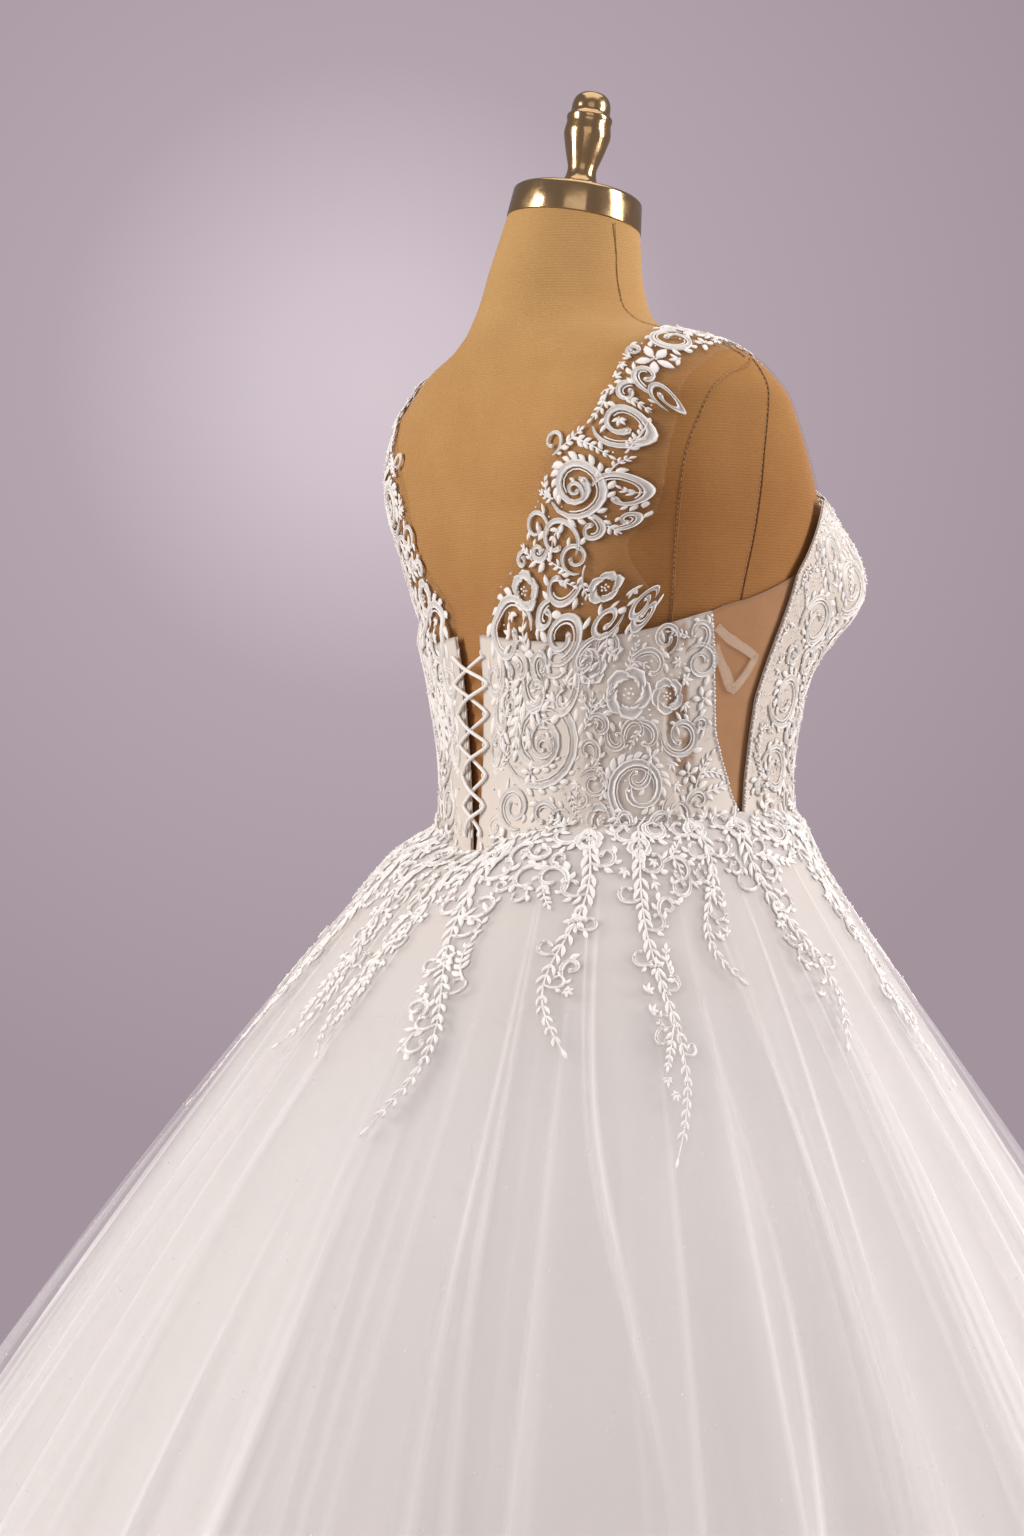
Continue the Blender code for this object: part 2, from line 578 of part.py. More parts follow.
def ribbon(path, width, pieces=1):
    """A stroke along a path with a width at each point, as outlines end to end. No width makes a point."""
    path, width = np.asarray(path, float), np.asarray(width, float)
    along = np.gradient(path, axis=0)
    along /= np.linalg.norm(along, axis=1, keepdims=True) + 1e-12
    off = np.stack([-along[:, 1], along[:, 0]], 1) * width[:, None] / 2
    left, right = path + off, path - off
    cuts = np.linspace(0, len(path) - 1, pieces + 1).round().astype(int)
    outlines = []
    for start, end in zip(cuts[:-1], cuts[1:]):
        back = left[start:end + 1][::-1]
        outlines.append(np.concatenate([right[start:end + 1], back[1:] if width[end] < 1e-6 else back]))
    return outlines


def curl(place, heading, length, bend, steps, tighten=1.7):
    """A path that bends more tightly towards its end, and its heading at each point in radians."""
    part = np.linspace(0, 1, steps)
    angle = np.radians(heading + bend * part**tighten)
    middle = (angle[1:] + angle[:-1]) / 2
    path = np.cumsum(np.stack([np.cos(middle), np.sin(middle)], 1) * length / (steps - 1), 0)
    return np.concatenate([[(0, 0)], path]) + place, angle


def leaf(place, angle, length, width):
    """A pointed leaf's outline."""
    ahead = np.array([math.cos(angle), math.sin(angle)])
    across = np.array([-math.sin(angle), math.cos(angle)])
    points = ((0, 0.12), (0, -0.12), (0.42, -0.5), (1, -0.1), (0.42, 0.5))
    return np.array([place + ahead * length * along + across * width * off for along, off in points])


def flower(place, angle, radius):
    """A five-petalled flower's outline, two points to a petal."""
    point = np.arange(10)
    reach = radius * np.where(point % 2 == 0, 0.62, 1.0)
    turn = angle + 2 * math.pi * point / point.size
    return np.stack([reach * np.cos(turn), reach * np.sin(turn)], 1) + place


def branch(u, v, heading, length, bend, width, leaves, root, tip):
    """One row of a lace table, in millimetres and degrees: a curling stem with leaves and flowers."""
    u, v, length, width, root, tip = (value * MM for value in (u, v, length, width, root, tip))
    steps = 4 + max(int(abs(bend) / 75), int(length / STEM_STEP))
    path, angle = curl(np.array([u, v]), heading, length, bend, steps)
    part = np.linspace(0, 1, len(path))
    wide = width * (0.45 + 0.55 * np.sin(math.pi * part)) * (1 - 0.3 * part**6)
    outlines = ribbon(path, wide, pieces=1 + int(abs(bend) / 170))
    for number in range(leaves):
        at = 0.22 + 0.62 * (number + 0.5) / leaves
        place = np.array([np.interp(at, part, path[:, 0]), np.interp(at, part, path[:, 1])])
        side = 1 if number % 2 else -1
        outlines.append(leaf(place, np.interp(at, part, angle) + side * 0.9, 3.6 * width, 1.35 * width))
    if root:
        outlines.append(flower(path[0], angle[0], root))
    if tip:
        outlines.append(flower(path[-1], angle[-1], tip))
    return outlines


def inside(points, outline):
    """Whether each point lies inside an outline."""
    after = np.roll(outline, -1, 0)
    above = (outline[None, :, 1] > points[:, None, 1]) != (after[None, :, 1] > points[:, None, 1])
    rise = after[:, 1] - outline[:, 1]
    rise = np.where(rise == 0, 1e-12, rise)
    cross = outline[:, 0] + (points[:, None, 1] - outline[:, 1]) * (after[:, 0] - outline[:, 0]) / rise
    return (above & (points[:, None, 0] < cross)).sum(1) % 2 == 1


def triangulate(outlines):
    """Triangles of the union of outlines: their flat points and corners."""
    points, edges = [], []
    for outline in outlines:
        first, count = len(points), len(outline)
        edges += [(first + corner, first + (corner + 1) % count) for corner in range(count)]
        points += [Vector(point) for point in outline]
    flat, _, faces, _, _, _ = delaunay_2d_cdt(points, edges, [], 0, 2e-5, True)
    flat, corners = np.array([tuple(point) for point in flat]), np.array(faces)
    middle = flat[corners].mean(1)
    kept = np.any([inside(middle, outline) for outline in outlines], 0)
    return flat, corners[kept]


def bodies(corners):
    """Which body each triangle belongs to, where triangles hang together by whole edges."""
    owner = list(range(len(corners)))

    def root(item):
        while owner[item] != item:
            owner[item] = owner[owner[item]]
            item = owner[item]
        return item

    edges = {}
    for face, triangle in enumerate(corners):
        for one, two in ((0, 1), (1, 2), (2, 0)):
            edge = tuple(sorted((int(triangle[one]), int(triangle[two]))))
            if edge in edges:
                owner[root(face)] = root(edges[edge])
            edges[edge] = face
    return np.array([root(face) for face in range(len(corners))])


def bar_between(flat, mine, others, width):
    """A lace bar from one body's nearest point to the others', run a little into both."""
    near = np.linalg.norm(flat[mine][:, None] - flat[others][None], axis=2)
    one, two = np.unravel_index(near.argmin(), near.shape)
    start, end = flat[mine[one]], flat[others[two]]
    along = (end - start) / (np.linalg.norm(end - start) + 1e-9)
    return ribbon([start - along * width, end + along * width], [width, width])[0]


def joined_lace(outlines):
    """Triangles of the outlines, with bars added until they are one body."""
    outlines = list(outlines)
    for _ in range(8):
        flat, corners = triangulate(outlines)
        owner = bodies(corners)
        names, counts = np.unique(owner, return_counts=True)
        if len(names) == 1:
            return flat, corners
        main = names[counts.argmax()]
        for name in names[names != main]:
            mine, others = np.unique(corners[owner == name]), np.unique(corners[owner != name])
            outlines.append(bar_between(flat, mine, others, BAR_WIDTH))
    keep = owner == main
    return flat, corners[keep]


def split_pinches(flat, corners):
    """Gives each fan of triangles that meets others only at a point a point of its own."""
    flat, corners = list(flat), corners.copy()
    for point in range(len(flat)):
        fan = [int(face) for face in np.flatnonzero((corners == point).any(1))]
        groups = []
        while fan:
            group, grown = [fan.pop()], True
            while grown:
                grown = False
                for face in list(fan):
                    if any(len(np.intersect1d(corners[face], corners[other])) == 2 for other in group):
                        group.append(face)
                        fan.remove(face)
                        grown = True
            groups.append(group)
        for group in groups[1:]:
            middle = np.mean([flat[corner] for corner in np.unique(corners[group])], 0)
            flat.append(flat[point] + (middle - flat[point]) * 0.02)
            for face in group:
                corners[face][corners[face] == point] = len(flat) - 1
    return np.array(flat), corners


def lace(name, outlines, chart, lift, finish, wall=LACE_WALL):
    """A cut-through lace piece: the union of the outlines, laid on a chart and thickened."""
    flat, corners = split_pinches(*joined_lace(outlines))
    used, corners = np.unique(corners, return_inverse=True)
    corners = corners.reshape(-1, 3)
    flat = flat[used]
    lifts = lift(flat[:, 0], flat[:, 1]) if callable(lift) else lift + 0 * flat[:, 0]
    count = len(flat)
    points = np.concatenate([lifted(chart, flat[:, 0], flat[:, 1], lifts),
                             lifted(chart, flat[:, 0], flat[:, 1], lifts + wall)])
    edges = np.concatenate([corners[:, [0, 1]], corners[:, [1, 2]], corners[:, [2, 0]]])
    known = {tuple(edge) for edge in edges.tolist()}
    rim = [edge for edge in edges.tolist() if (edge[1], edge[0]) not in known]
    faces = [*corners[:, ::-1].tolist(), *(corners + count).tolist()]
    faces += [(one, two, two + count, one + count) for one, two in rim]
    return solid(name, points, faces, finish)


def panel_chart(side):
    """A flat chart of the bodice on one side: distance past the centre back at a level reach, and height."""
    return lambda u, v: form_chart(turn_of(np.degrees(u / PANEL_REACH), side), v)


def round_panel(x, height):
    """The flat chart's distance past the centre back, of a point's distance across the back."""
    return np.radians(past_at(x, height)) * PANEL_REACH


def strap_chart(side):
    """A flat chart of one shoulder's yoke: distance from the centre, and length of cloth along."""
    return lambda u, v: yoke_chart(side * u, v)


def skirt_grid():
    """The overskirt's outer points, as its gores have them, all round and one column over."""
    phase, part = np.meshgrid(np.linspace(0, 2 * math.pi, GORES * GORE_STEPS + 1), SKIRT_ROWS)
    return lifted(skirt_chart, phase, part * SKIRT_CLOTH, OVERSKIRT_WALL + 0 * part)


SKIRT_POINTS = skirt_grid()


def facet_chart(phase, length):
    """The outer side of the overskirt as it is built, straight between its rows and columns."""
    phase, length = np.broadcast_arrays(np.asarray(phase, float), np.asarray(length, float))
    steps = GORES * GORE_STEPS
    column = phase / (2 * math.pi) * steps % steps
    row = np.interp(length, SKIRT_ROWS * SKIRT_CLOTH, np.arange(len(SKIRT_ROWS)))
    left, above = np.minimum(column.astype(int), steps - 1), np.minimum(row.astype(int), len(SKIRT_ROWS) - 2)
    across, down = (column - left)[..., None], (row - above)[..., None]
    upper = SKIRT_POINTS[above, left] * (1 - across) + SKIRT_POINTS[above, left + 1] * across
    lower = SKIRT_POINTS[above + 1, left] * (1 - across) + SKIRT_POINTS[above + 1, left + 1] * across
    return upper * (1 - down) + lower * down


def hip_chart(side):
    """The skirt's chart on one side: distance past the centre back at a level reach, and length of fall."""
    return lambda u, v: facet_chart(math.pi / 2 - side * u / HIP_REACH, v)


# A lace table's row is one branch: where it starts, as u and v, its heading in degrees, its length, its
# bend, its width, how many leaves it has, and the radius of the flower at its start and at its tip. Over a
# shoulder, up the back from the corset's top and down the front: u is the distance from the centre, v the
# length of cloth over the shoulder.
STRAP_LACE = (
    (76, -72, 62, 100, -40, 8, 1, 25, 0),
    (76, -72, -35, 66, 50, 7, 0, 0, 16),
    (132, -90, 92, 112, -8, 7, 0, 0, 0),
    (98, -44, 50, 150, -330, 8, 0, 0, 0),
    (118, 10, 60, 62, 30, 7, 1, 0, 0),
    (144, -20, 65, 96, -290, 8, 0, 0, 0),
    (140, 18, 78, 106, 0, 7, 0, 0, 18),
    (166, 118, 100, 120, 40, 7, 1, 0, 17),
    (156, 170, 80, 74, -230, 8, 0, 0, 0),
    (142, 232, 112, 110, 20, 7, 1, 0, 15),
    (98, 330, 95, 54, 30, 8, 1, 0, 0),
)
# On a back panel: u is the distance past the centre back and v the height.
BACK_LACE = (
    (44, 1112, 96, 176, -330, 8, 1, 15, 0),
    (92, 1172, 28, 66, -80, 7, 0, 0, 17),
    (148, 1170, -50, 104, -250, 8, 0, 0, 0),
    (44, 1110, -12, 148, 30, 7, 0, 0, 13),
)
# On the front, from the side edge round.
FRONT_LACE = (
    (304, 1120, 88, 120, 10, 7, 1, 14, 14),
    (304, 1150, 40, 92, -250, 8, 0, 0, 0),
    (306, 1220, 12, 78, 30, 7, 1, 0, 14),
    (376, 1244, -80, 90, 60, 8, 0, 0, 0),
)
# Sprays of hip lace past the centre back on each side: u, length and lean. They hang from a band under the
# waist.
HIP_SPRAYS = ((70, 200, 12), (220, 262, -8), (380, 210, 10), (560, 230, -8), (760, 190, 8))
HIP_BAND = {"start": 14 * MM, "below": 9 * MM, "width": 8 * MM, "points": 15}
# How far above the bodice's top the strap's lace climbs onto it.
STRAP_RISE = {"reach": 26 * MM, "run": 16 * MM}


def spray(u, stem, lean):
    """A spray of hip lace that falls from the waist: a leafy stem, a flower at its tip and a scroll."""
    way = 1 if lean > 0 else -1
    return (
        (u, 6, 90 + lean * 0.6, stem, lean * 0.8, 9, 1, 0, 16),
        (u, 30, 90 - way * 40, 92, way * 200, 9, 0, 0, 0),
    )


def strap_lift(u, v):
    """Near the net on the yoke, and up over the bodice's edge where the lace runs onto it."""
    points = yoke_chart(u, v)
    top = np.where(v < 0.18, line(BACK_TOP, past_at(u, 1.235)), line(FRONT_TOP, u))
    over = np.clip((top + STRAP_RISE["reach"] - points[..., 2]) / STRAP_RISE["run"], 0, 1)
    return LACE_ON_NET + (LACE_ON_BODICE - LACE_ON_NET) * over * over * (3 - 2 * over)


def build_lace(name, side, finish):
    """One side's lace: over the shoulder, on the back panel, on the front and over the hip."""
    pieces = (
        ("strap_lace", STRAP_LACE, strap_chart(side), strap_lift),
        ("back_lace", BACK_LACE, panel_chart(side), LACE_ON_BODICE),
        ("front_lace", FRONT_LACE, panel_chart(side), LACE_ON_BODICE),
    )
    for kind, table, chart, lift in pieces:
        lace(f"{kind}_{name}", [outline for row in table for outline in branch(*row)], chart, lift, finish)
    hip = [outline for place in HIP_SPRAYS for row in spray(*place) for outline in branch(*row)]
    across = np.linspace(HIP_BAND["start"], HIP_REACH * math.pi - HIP_BAND["start"], HIP_BAND["points"])
    hip.extend(ribbon(np.stack([across, 0 * across + HIP_BAND["below"]], 1), 0 * across + HIP_BAND["width"]))
    lace(f"hip_lace_{name}", hip, hip_chart(side), LACE_ON_SKIRT, finish)


# ---------------------------------------------------------------- the lacing and the hanger ribbons
LOOP_HEIGHTS = (1.220, 1.196, 1.172, 1.148, 1.124, 1.100, 1.078)
CORD_RADIUS = 1.5 * MM
CORD_LIFT = BODICE_LIFT + BODICE_WALL + CHANNEL_RAISE + CORD_RADIUS + 0.4 * MM
CORD_REACH = 5 * MM  # how far past a panel's edge a cord runs before it turns back
CROSSING_RAISE = 3.6 * MM  # how far the upper cord rises over the lower one
LOOP_LIFT = 0.9 * MM
LOOP_TOP = 1.216  # the highest loop's height, under the corset's top edge
TAPE = {"low": 1.070, "high": 1.222, "inset": 4 * MM, "width": 5 * MM}
LOOP = {"inset": 2 * MM, "reach": 4 * MM, "half_height": 4 * MM, "width": 1.6 * MM}
# The hanger ribbon's loop on the panel chart: its start, and its runs from there, in millimetres.
RIBBON_START = (227.5, 1236.0)
RIBBON_RUNS = (
    ((0, 0), (14, -12), (24, -20)),
    ((23.5, -18), (15, -36), (9.5, -46)),
    ((10.5, -46), (4, -22), (0, 0)),
)
RIBBON_WIDTH = 5 * MM
TRIM_WALL = 1.0 * MM


def back_point(x, height, lift):
    """A point off the form's back, by its distance across, its height and its lift."""
    turn = math.pi / 2 - math.copysign(1, x) * math.radians(float(past_at(abs(x), height)))
    return Vector(lifted(form_chart, turn, height, lift))


def build_lacing(name, first_side, crossing_raise, finish):
    """A cord that zigzags down between the loops, from the first side at the top."""
    places = []
    side = first_side
    for number, height in enumerate(LOOP_HEIGHTS):
        edge = float(line(LACING_GAP, height))
        for up in (2.5 * MM, -2 * MM):
            if number > 0 or up < 0:
                places.append(back_point(side * (edge + CORD_REACH), height + up, CORD_LIFT))
        if number < len(LOOP_HEIGHTS) - 1:
            middle = (height + LOOP_HEIGHTS[number + 1]) / 2 + 0.5 * MM
            places.append(back_point(1e-5, middle, CORD_LIFT + crossing_raise))
        side = -side
    curve = bpy.data.curves.new(name, "CURVE")
    curve.dimensions = "3D"
    path = curve.splines.new("POLY")
    path.points.add(len(places) - 1)
    for point, place in zip(path.points, places):
        point.co = (*place, 1.0)
    curve.bevel_depth = CORD_RADIUS
    curve.bevel_resolution = 2
    curve.render_resolution_u = 0
    curve.use_fill_caps = True
    curve.materials.append(finish)
    made = bpy.data.objects.new(name, curve)
    bpy.context.scene.collection.objects.link(made)


def build_loops(name, side, finish):
    """The strip of rouleau loops under a back panel's edge: a tape and a loop at each crossing's height."""
    heights = np.linspace(TAPE["low"], TAPE["high"], 5)
    tape = np.stack([round_panel(line(LACING_GAP, heights) + TAPE["inset"], heights), heights], 1)
    outlines = ribbon(tape, np.full(len(heights), TAPE["width"]))
    for height in np.minimum(LOOP_HEIGHTS, LOOP_TOP):
        at = round_panel(line(LACING_GAP, height) + LOOP["inset"], height)
        loop = np.array([(at + LOOP["inset"], height + LOOP["half_height"]), (at - LOOP["reach"], height),
                         (at + LOOP["inset"], height - LOOP["half_height"])])
        outlines.extend(ribbon(loop, np.full(3, LOOP["width"])))
    lace(name, outlines, panel_chart(side), LOOP_LIFT, finish, wall=TRIM_WALL)


def build_hanger_ribbon(name, side, finish):
    """A ribbon loop for the hanger that falls from the side net's top edge."""
    outlines = []
    for run in RIBBON_RUNS:
        path = (np.array(run) + RIBBON_START) * MM
        outlines.extend(ribbon(path, np.full(len(run), RIBBON_WIDTH)))
    lace(name, outlines, panel_chart(side), NET_LIFT + NET_WALL + 0.5 * MM, finish, wall=TRIM_WALL)


# ---------------------------------------------------------------- the whole
def build():
    """Clears the file and makes every piece."""
    for thing in list(bpy.data.objects):
        bpy.data.objects.remove(thing)
    jersey = material("tan_jersey", (0.52, 0.31, 0.15), 0.85)
    brass = material("polished_brass", (0.80, 0.60, 0.30), 0.25, 1.0)
    steel = material("grey_steel", (0.30, 0.30, 0.31), 0.45, 0.6)
    satin = material("ivory_satin", (0.85, 0.81, 0.75), 0.40)
    net = material("nude_net", (0.72, 0.55, 0.42), 0.70)
    tulle = material("ivory_tulle", (0.88, 0.86, 0.83), 0.75)
    thread = material("ivory_lace", (0.93, 0.91, 0.88), 0.65)
    cord = material("ivory_cord", (0.90, 0.88, 0.84), 0.60)
    build_torso(jersey)
    build_stand(brass, steel)
    build_front(satin)
    for name, side in (("left", 1), ("right", -1)):
        build_back_panel(f"back_panel_{name}", side, satin)
        build_side_net(f"side_net_{name}", side, net)
        build_yoke(f"yoke_net_{name}", side, net)
        build_lace(name, side, thread)
        build_loops(f"lacing_loops_{name}", side, cord)
        build_hanger_ribbon(f"hanger_ribbon_{name}", side, satin)
    build_lacing("lacing_cord_over", 1, CROSSING_RAISE, cord)
    build_lacing("lacing_cord_under", -1, 0.0, cord)
    build_overskirt(tulle)
    build_underskirt(satin)


build()
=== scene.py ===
"""The looks of a lace and tulle wedding gown on a covered dress form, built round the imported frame.

Metres, +Z up, the gown's front towards -Y and the wearer's left towards +X. Every cloth is a grid of points
worked out on one of three grounds: the form's sections, the yoke over the shoulders, and the skirt's flare.
Lace is a set of strokes drawn on a ground in flat millimetres, then raised as corded bands.
"""

import math

import bpy
import numpy as np
from mathutils import Matrix, Vector


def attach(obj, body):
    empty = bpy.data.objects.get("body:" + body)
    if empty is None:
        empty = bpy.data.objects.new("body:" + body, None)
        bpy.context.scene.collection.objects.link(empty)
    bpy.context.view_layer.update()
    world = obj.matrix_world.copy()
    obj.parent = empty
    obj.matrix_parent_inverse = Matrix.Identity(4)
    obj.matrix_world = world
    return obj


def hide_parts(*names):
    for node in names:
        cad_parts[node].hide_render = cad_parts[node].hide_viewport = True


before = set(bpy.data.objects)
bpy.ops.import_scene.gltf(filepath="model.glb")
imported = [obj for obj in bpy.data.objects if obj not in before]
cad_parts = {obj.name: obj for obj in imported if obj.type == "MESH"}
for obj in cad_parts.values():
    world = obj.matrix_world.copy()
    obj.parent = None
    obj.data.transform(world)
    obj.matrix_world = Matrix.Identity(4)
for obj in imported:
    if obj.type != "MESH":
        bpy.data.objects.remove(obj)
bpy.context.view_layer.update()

MM = 0.001

# ---------------------------------------------------------------- the form's sections, as in the solids
FORM_COLUMNS = ("height", "half_width", "back", "front", "middle", "power")
FORM = np.array([
    (0.800, 0.186, 0.146, -0.122, 0.012, 2.2),
    (0.900, 0.188, 0.150, -0.130, 0.010, 2.2),
    (1.000, 0.166, 0.138, -0.130, 0.004, 2.2),
    (1.060, 0.146, 0.124, -0.130, 0.000, 2.2),
    (1.120, 0.140, 0.122, -0.130, -0.002, 2.2),
    (1.180, 0.149, 0.124, -0.132, 0.000, 2.3),
    (1.250, 0.168, 0.132, -0.128, 0.004, 2.4),
    (1.300, 0.186, 0.137, -0.120, 0.010, 2.6),
    (1.360, 0.203, 0.138, -0.102, 0.020, 2.9),
    (1.410, 0.205, 0.126, -0.078, 0.022, 2.8),
    (1.438, 0.192, 0.118, -0.058, 0.022, 2.4),
    (1.452, 0.171, 0.118, -0.046, 0.026, 2.1),
    (1.464, 0.133, 0.119, -0.036, 0.034, 1.8),
    (1.476, 0.093, 0.119, -0.028, 0.044, 1.8),
    (1.496, 0.067, 0.113, -0.022, 0.046, 2.0),
    (1.530, 0.058, 0.104, -0.018, 0.043, 2.0),
    (1.575, 0.054, 0.087, -0.020, 0.0335, 2.0),
])
# The cups' middles, their depth, and how soon they fall away across, above and below.
BUST = {"across": 0.090, "height": 1.276, "depth": 0.066, "half_width": 0.060, "above": 0.062, "below": 0.050}
NECK_TOP = Vector((0.0, 0.036, 1.560))
NECK_LEAN = math.radians(10)
NECK_RADIUS = 53.4 * MM  # of the cover, just under the cap
NECK_ROOT = 1.520  # above this height the neck runs straight to the leaning ring under its cap
FORM_FOOT = 0.803
COVER_SINK = 0.6 * MM  # how far the cover lies inside the sections, clear of the net
SHOULDER_AXIS = (0.025, 1.345)  # back from the middle and up

# Lifts off the form, and seam lines against degrees past the centre back.
NET_LIFT = 1.2 * MM
NET_WALL = 0.5 * MM
BODICE_LIFT = 4.2 * MM
BODICE_WALL = 1.5 * MM
BODICE_OUT = BODICE_LIFT + BODICE_WALL  # its outer face
CHANNEL_RAISE = 0.9 * MM
BACK_TOP = np.array([
    (0, 1.235), (20, 1.228), (35, 1.2265), (47, 1.229), (64, 1.2365), (83, 1.250), (90, 1.252),
])
SEAM_HEIGHT = np.array([
    (0, 1.066), (6, 1.066), (20, 1.076), (35, 1.084), (62, 1.086), (84, 1.0905), (98, 1.0965),
    (140, 1.0965), (180, 1.086),
])
SIDE_BACK = np.array([
    (1.094, 96.3), (1.1095, 93.3), (1.1325, 90.8), (1.159, 87.7), (1.1915, 86.5), (1.225, 85.0),
    (1.250, 83.3),
])
SIDE_FRONT = np.array([
    (1.096, 97.7), (1.136, 99.3), (1.1825, 99.5), (1.2285, 103.3), (1.259, 106.0), (1.281, 108.0),
    (1.3365, 125.0),
])
FRONT_TOP = np.array([
    (0.0, 1.236), (0.020, 1.252), (0.050, 1.292), (0.090, 1.326), (0.125, 1.333), (0.180, 1.337),
])
LACING_GAP = np.array([
    (1.060, 0.003), (1.100, 0.0075), (1.136, 0.0110), (1.190, 0.0150), (1.240, 0.0180),
])
SEAM_TUCK = 6 * MM  # how far a cloth goes on under the next one


def line(table, at, column=1):
    """A table's column at any value of its first, straight between rows."""
    return np.interp(at, table[:, 0], table[:, column])


def smooth_column(table, column, at):
    """A table's column at any value of its first, by cubics whose slopes never overshoot a row."""
    rows, values = table[:, 0], table[:, column]
    step = np.diff(rows)
    rise = np.diff(values) / step
    slope = np.zeros_like(values)
    before, after = 2 * step[1:] + step[:-1], step[1:] + 2 * step[:-1]
    same_way = rise[:-1] * rise[1:] > 0
    left = np.where(same_way, rise[:-1], 1.0)
    right = np.where(same_way, rise[1:], 1.0)
    slope[1:-1] = np.where(same_way, (before + after) / (before / left + after / right), 0.0)
    slope[0], slope[-1] = rise[0], rise[-1]
    at = np.clip(np.asarray(at, float), rows[0], rows[-1])
    row = np.clip(np.searchsorted(rows, at) - 1, 0, len(step) - 1)
    t = (at - rows[row]) / step[row]
    return (
        (1 + 2 * t) * (1 - t) ** 2 * values[row]
        + t * (1 - t) ** 2 * step[row] * slope[row]
        + t * t * (3 - 2 * t) * values[row + 1]
        + t * t * (t - 1) * step[row] * slope[row + 1]
    )


def form_column(name, height):
    """A column of the form's sections at a height."""
    return smooth_column(FORM, FORM_COLUMNS.index(name), height)


def bust_depth(x, height):
    """How far a cup stands out: a bell across times a bell up, softer above its middle than below."""
    tall = np.where(height > BUST["height"], BUST["above"], BUST["below"])
    across = (np.abs(x) - BUST["across"]) / BUST["half_width"]
    return BUST["depth"] * np.exp(-(across**2) - ((height - BUST["height"]) / tall) ** 2)


def form_chart(turn, height):
    """The form: a level superellipse at each height, its back and front of unequal depth, plus the cups."""
    turn, height = np.broadcast_arrays(np.asarray(turn, float), np.asarray(height, float))
    along, across = np.cos(turn), np.sin(turn)
    power = 2 / form_column("power", height)
    middle = form_column("middle", height)
    x = form_column("half_width", height) * np.sign(along) * np.abs(along) ** power
    reach = np.where(across > 0, form_column("back", height) - middle, middle - form_column("front", height))
    cups = np.where(across < 0, bust_depth(x, height) * np.sqrt(np.abs(across)), 0)
    y = middle + reach * np.sign(across) * np.abs(across) ** power - cups
    return np.stack([x, y, height], -1)


def outside_form(points):
    """Whether points lie outside the form: past its half width, or behind or ahead of its section there."""
    x, y, height = points[..., 0], points[..., 1], points[..., 2]
    middle, power = form_column("middle", height), form_column("power", height)
    width = np.abs(x) / form_column("half_width", height)
    across = np.sqrt(np.clip(1 - np.minimum(width, 1) ** power, 0, 1))
    reach = across ** (2 / power)
    behind = middle + (form_column("back", height) - middle) * reach
    ahead = middle - (middle - form_column("front", height)) * reach - bust_depth(x, height) * np.sqrt(across)
    return (width > 1) | (y > behind) | (y < ahead)


def from_shoulder_axis(x, reach, angle):
    """The point at a reach from the shoulder axis, at an angle up from straight behind it."""
    y = SHOULDER_AXIS[0] + reach * np.cos(angle)
    height = SHOULDER_AXIS[1] + reach * np.sin(angle)
    return np.stack([x, y, height], -1)


def reach_of_form(points_at, furthest):
    """How far the form reaches along rays, found by halving; points_at gives the rays' points at a reach."""
    near, far = np.zeros(furthest.shape), furthest
    for _ in range(30):
        half = (near + far) / 2
        out = outside_form(points_at(half))
        near, far = np.where(out, near, half), np.where(out, half, far)
    return near


def shoulder_reach(x, angle):
    """The form's distance from the shoulder axis along a ray."""
    return reach_of_form(lambda reach: from_shoulder_axis(x, reach, angle), np.full(np.shape(angle), 0.32))


def yoke_measure():
    """Angles round the shoulder axis, and the length of cloth up to each along a shoulder's middle."""
    angle = np.radians(np.linspace(-85, 262, 348))
    reach = shoulder_reach(np.full(angle.shape, 0.120), angle)
    y, height = reach * np.cos(angle), reach * np.sin(angle)
    length = np.concatenate([[0], np.cumsum(np.hypot(np.diff(y), np.diff(height)))])
    return angle, length - np.interp(0.0, angle, length)


YOKE_ANGLES, YOKE_LENGTHS = yoke_measure()


def yoke_chart(x, along):
    """The form over a shoulder: the end of the ray from the shoulder axis for a length of cloth."""
    x, along = np.broadcast_arrays(np.asarray(x, float), np.asarray(along, float))
    angle = np.interp(along, YOKE_LENGTHS, YOKE_ANGLES)
    return from_shoulder_axis(x, shoulder_reach(x, angle), angle)


def turn_of(past, side):
    """The form chart's turn, at degrees past the centre back on the left, side 1, or right, side -1."""
    return np.radians(90 - side * np.asarray(past, float))


def past_at(x, height):
    """Degrees past the centre back of a point on the back, from its distance across."""
    width = np.clip(np.abs(x) / form_column("half_width", height), 0, 1)
    return np.degrees(np.arcsin(width ** (form_column("power", height) / 2)))


def steps_of(path):
    """The distances from each of a path's points to the next."""
    return np.linalg.norm(np.diff(path, axis=0), axis=1)


def length_of(path):
    """A path's whole length."""
    return np.sum(steps_of(path))


def lengths_along(path):
    """The length of a path up to each of its points."""
    return np.concatenate([[0], np.cumsum(steps_of(path))])


def read_at(values, rows, at):
    """Values in columns, read between their rows: straight lines from each row's own number to the next."""
    return np.stack([np.interp(at, rows, column) for column in values.T], -1)


def unit(vectors):
    """Vectors cut to a length of one."""
    return vectors / (np.linalg.norm(vectors, axis=-1, keepdims=True) + 1e-15)


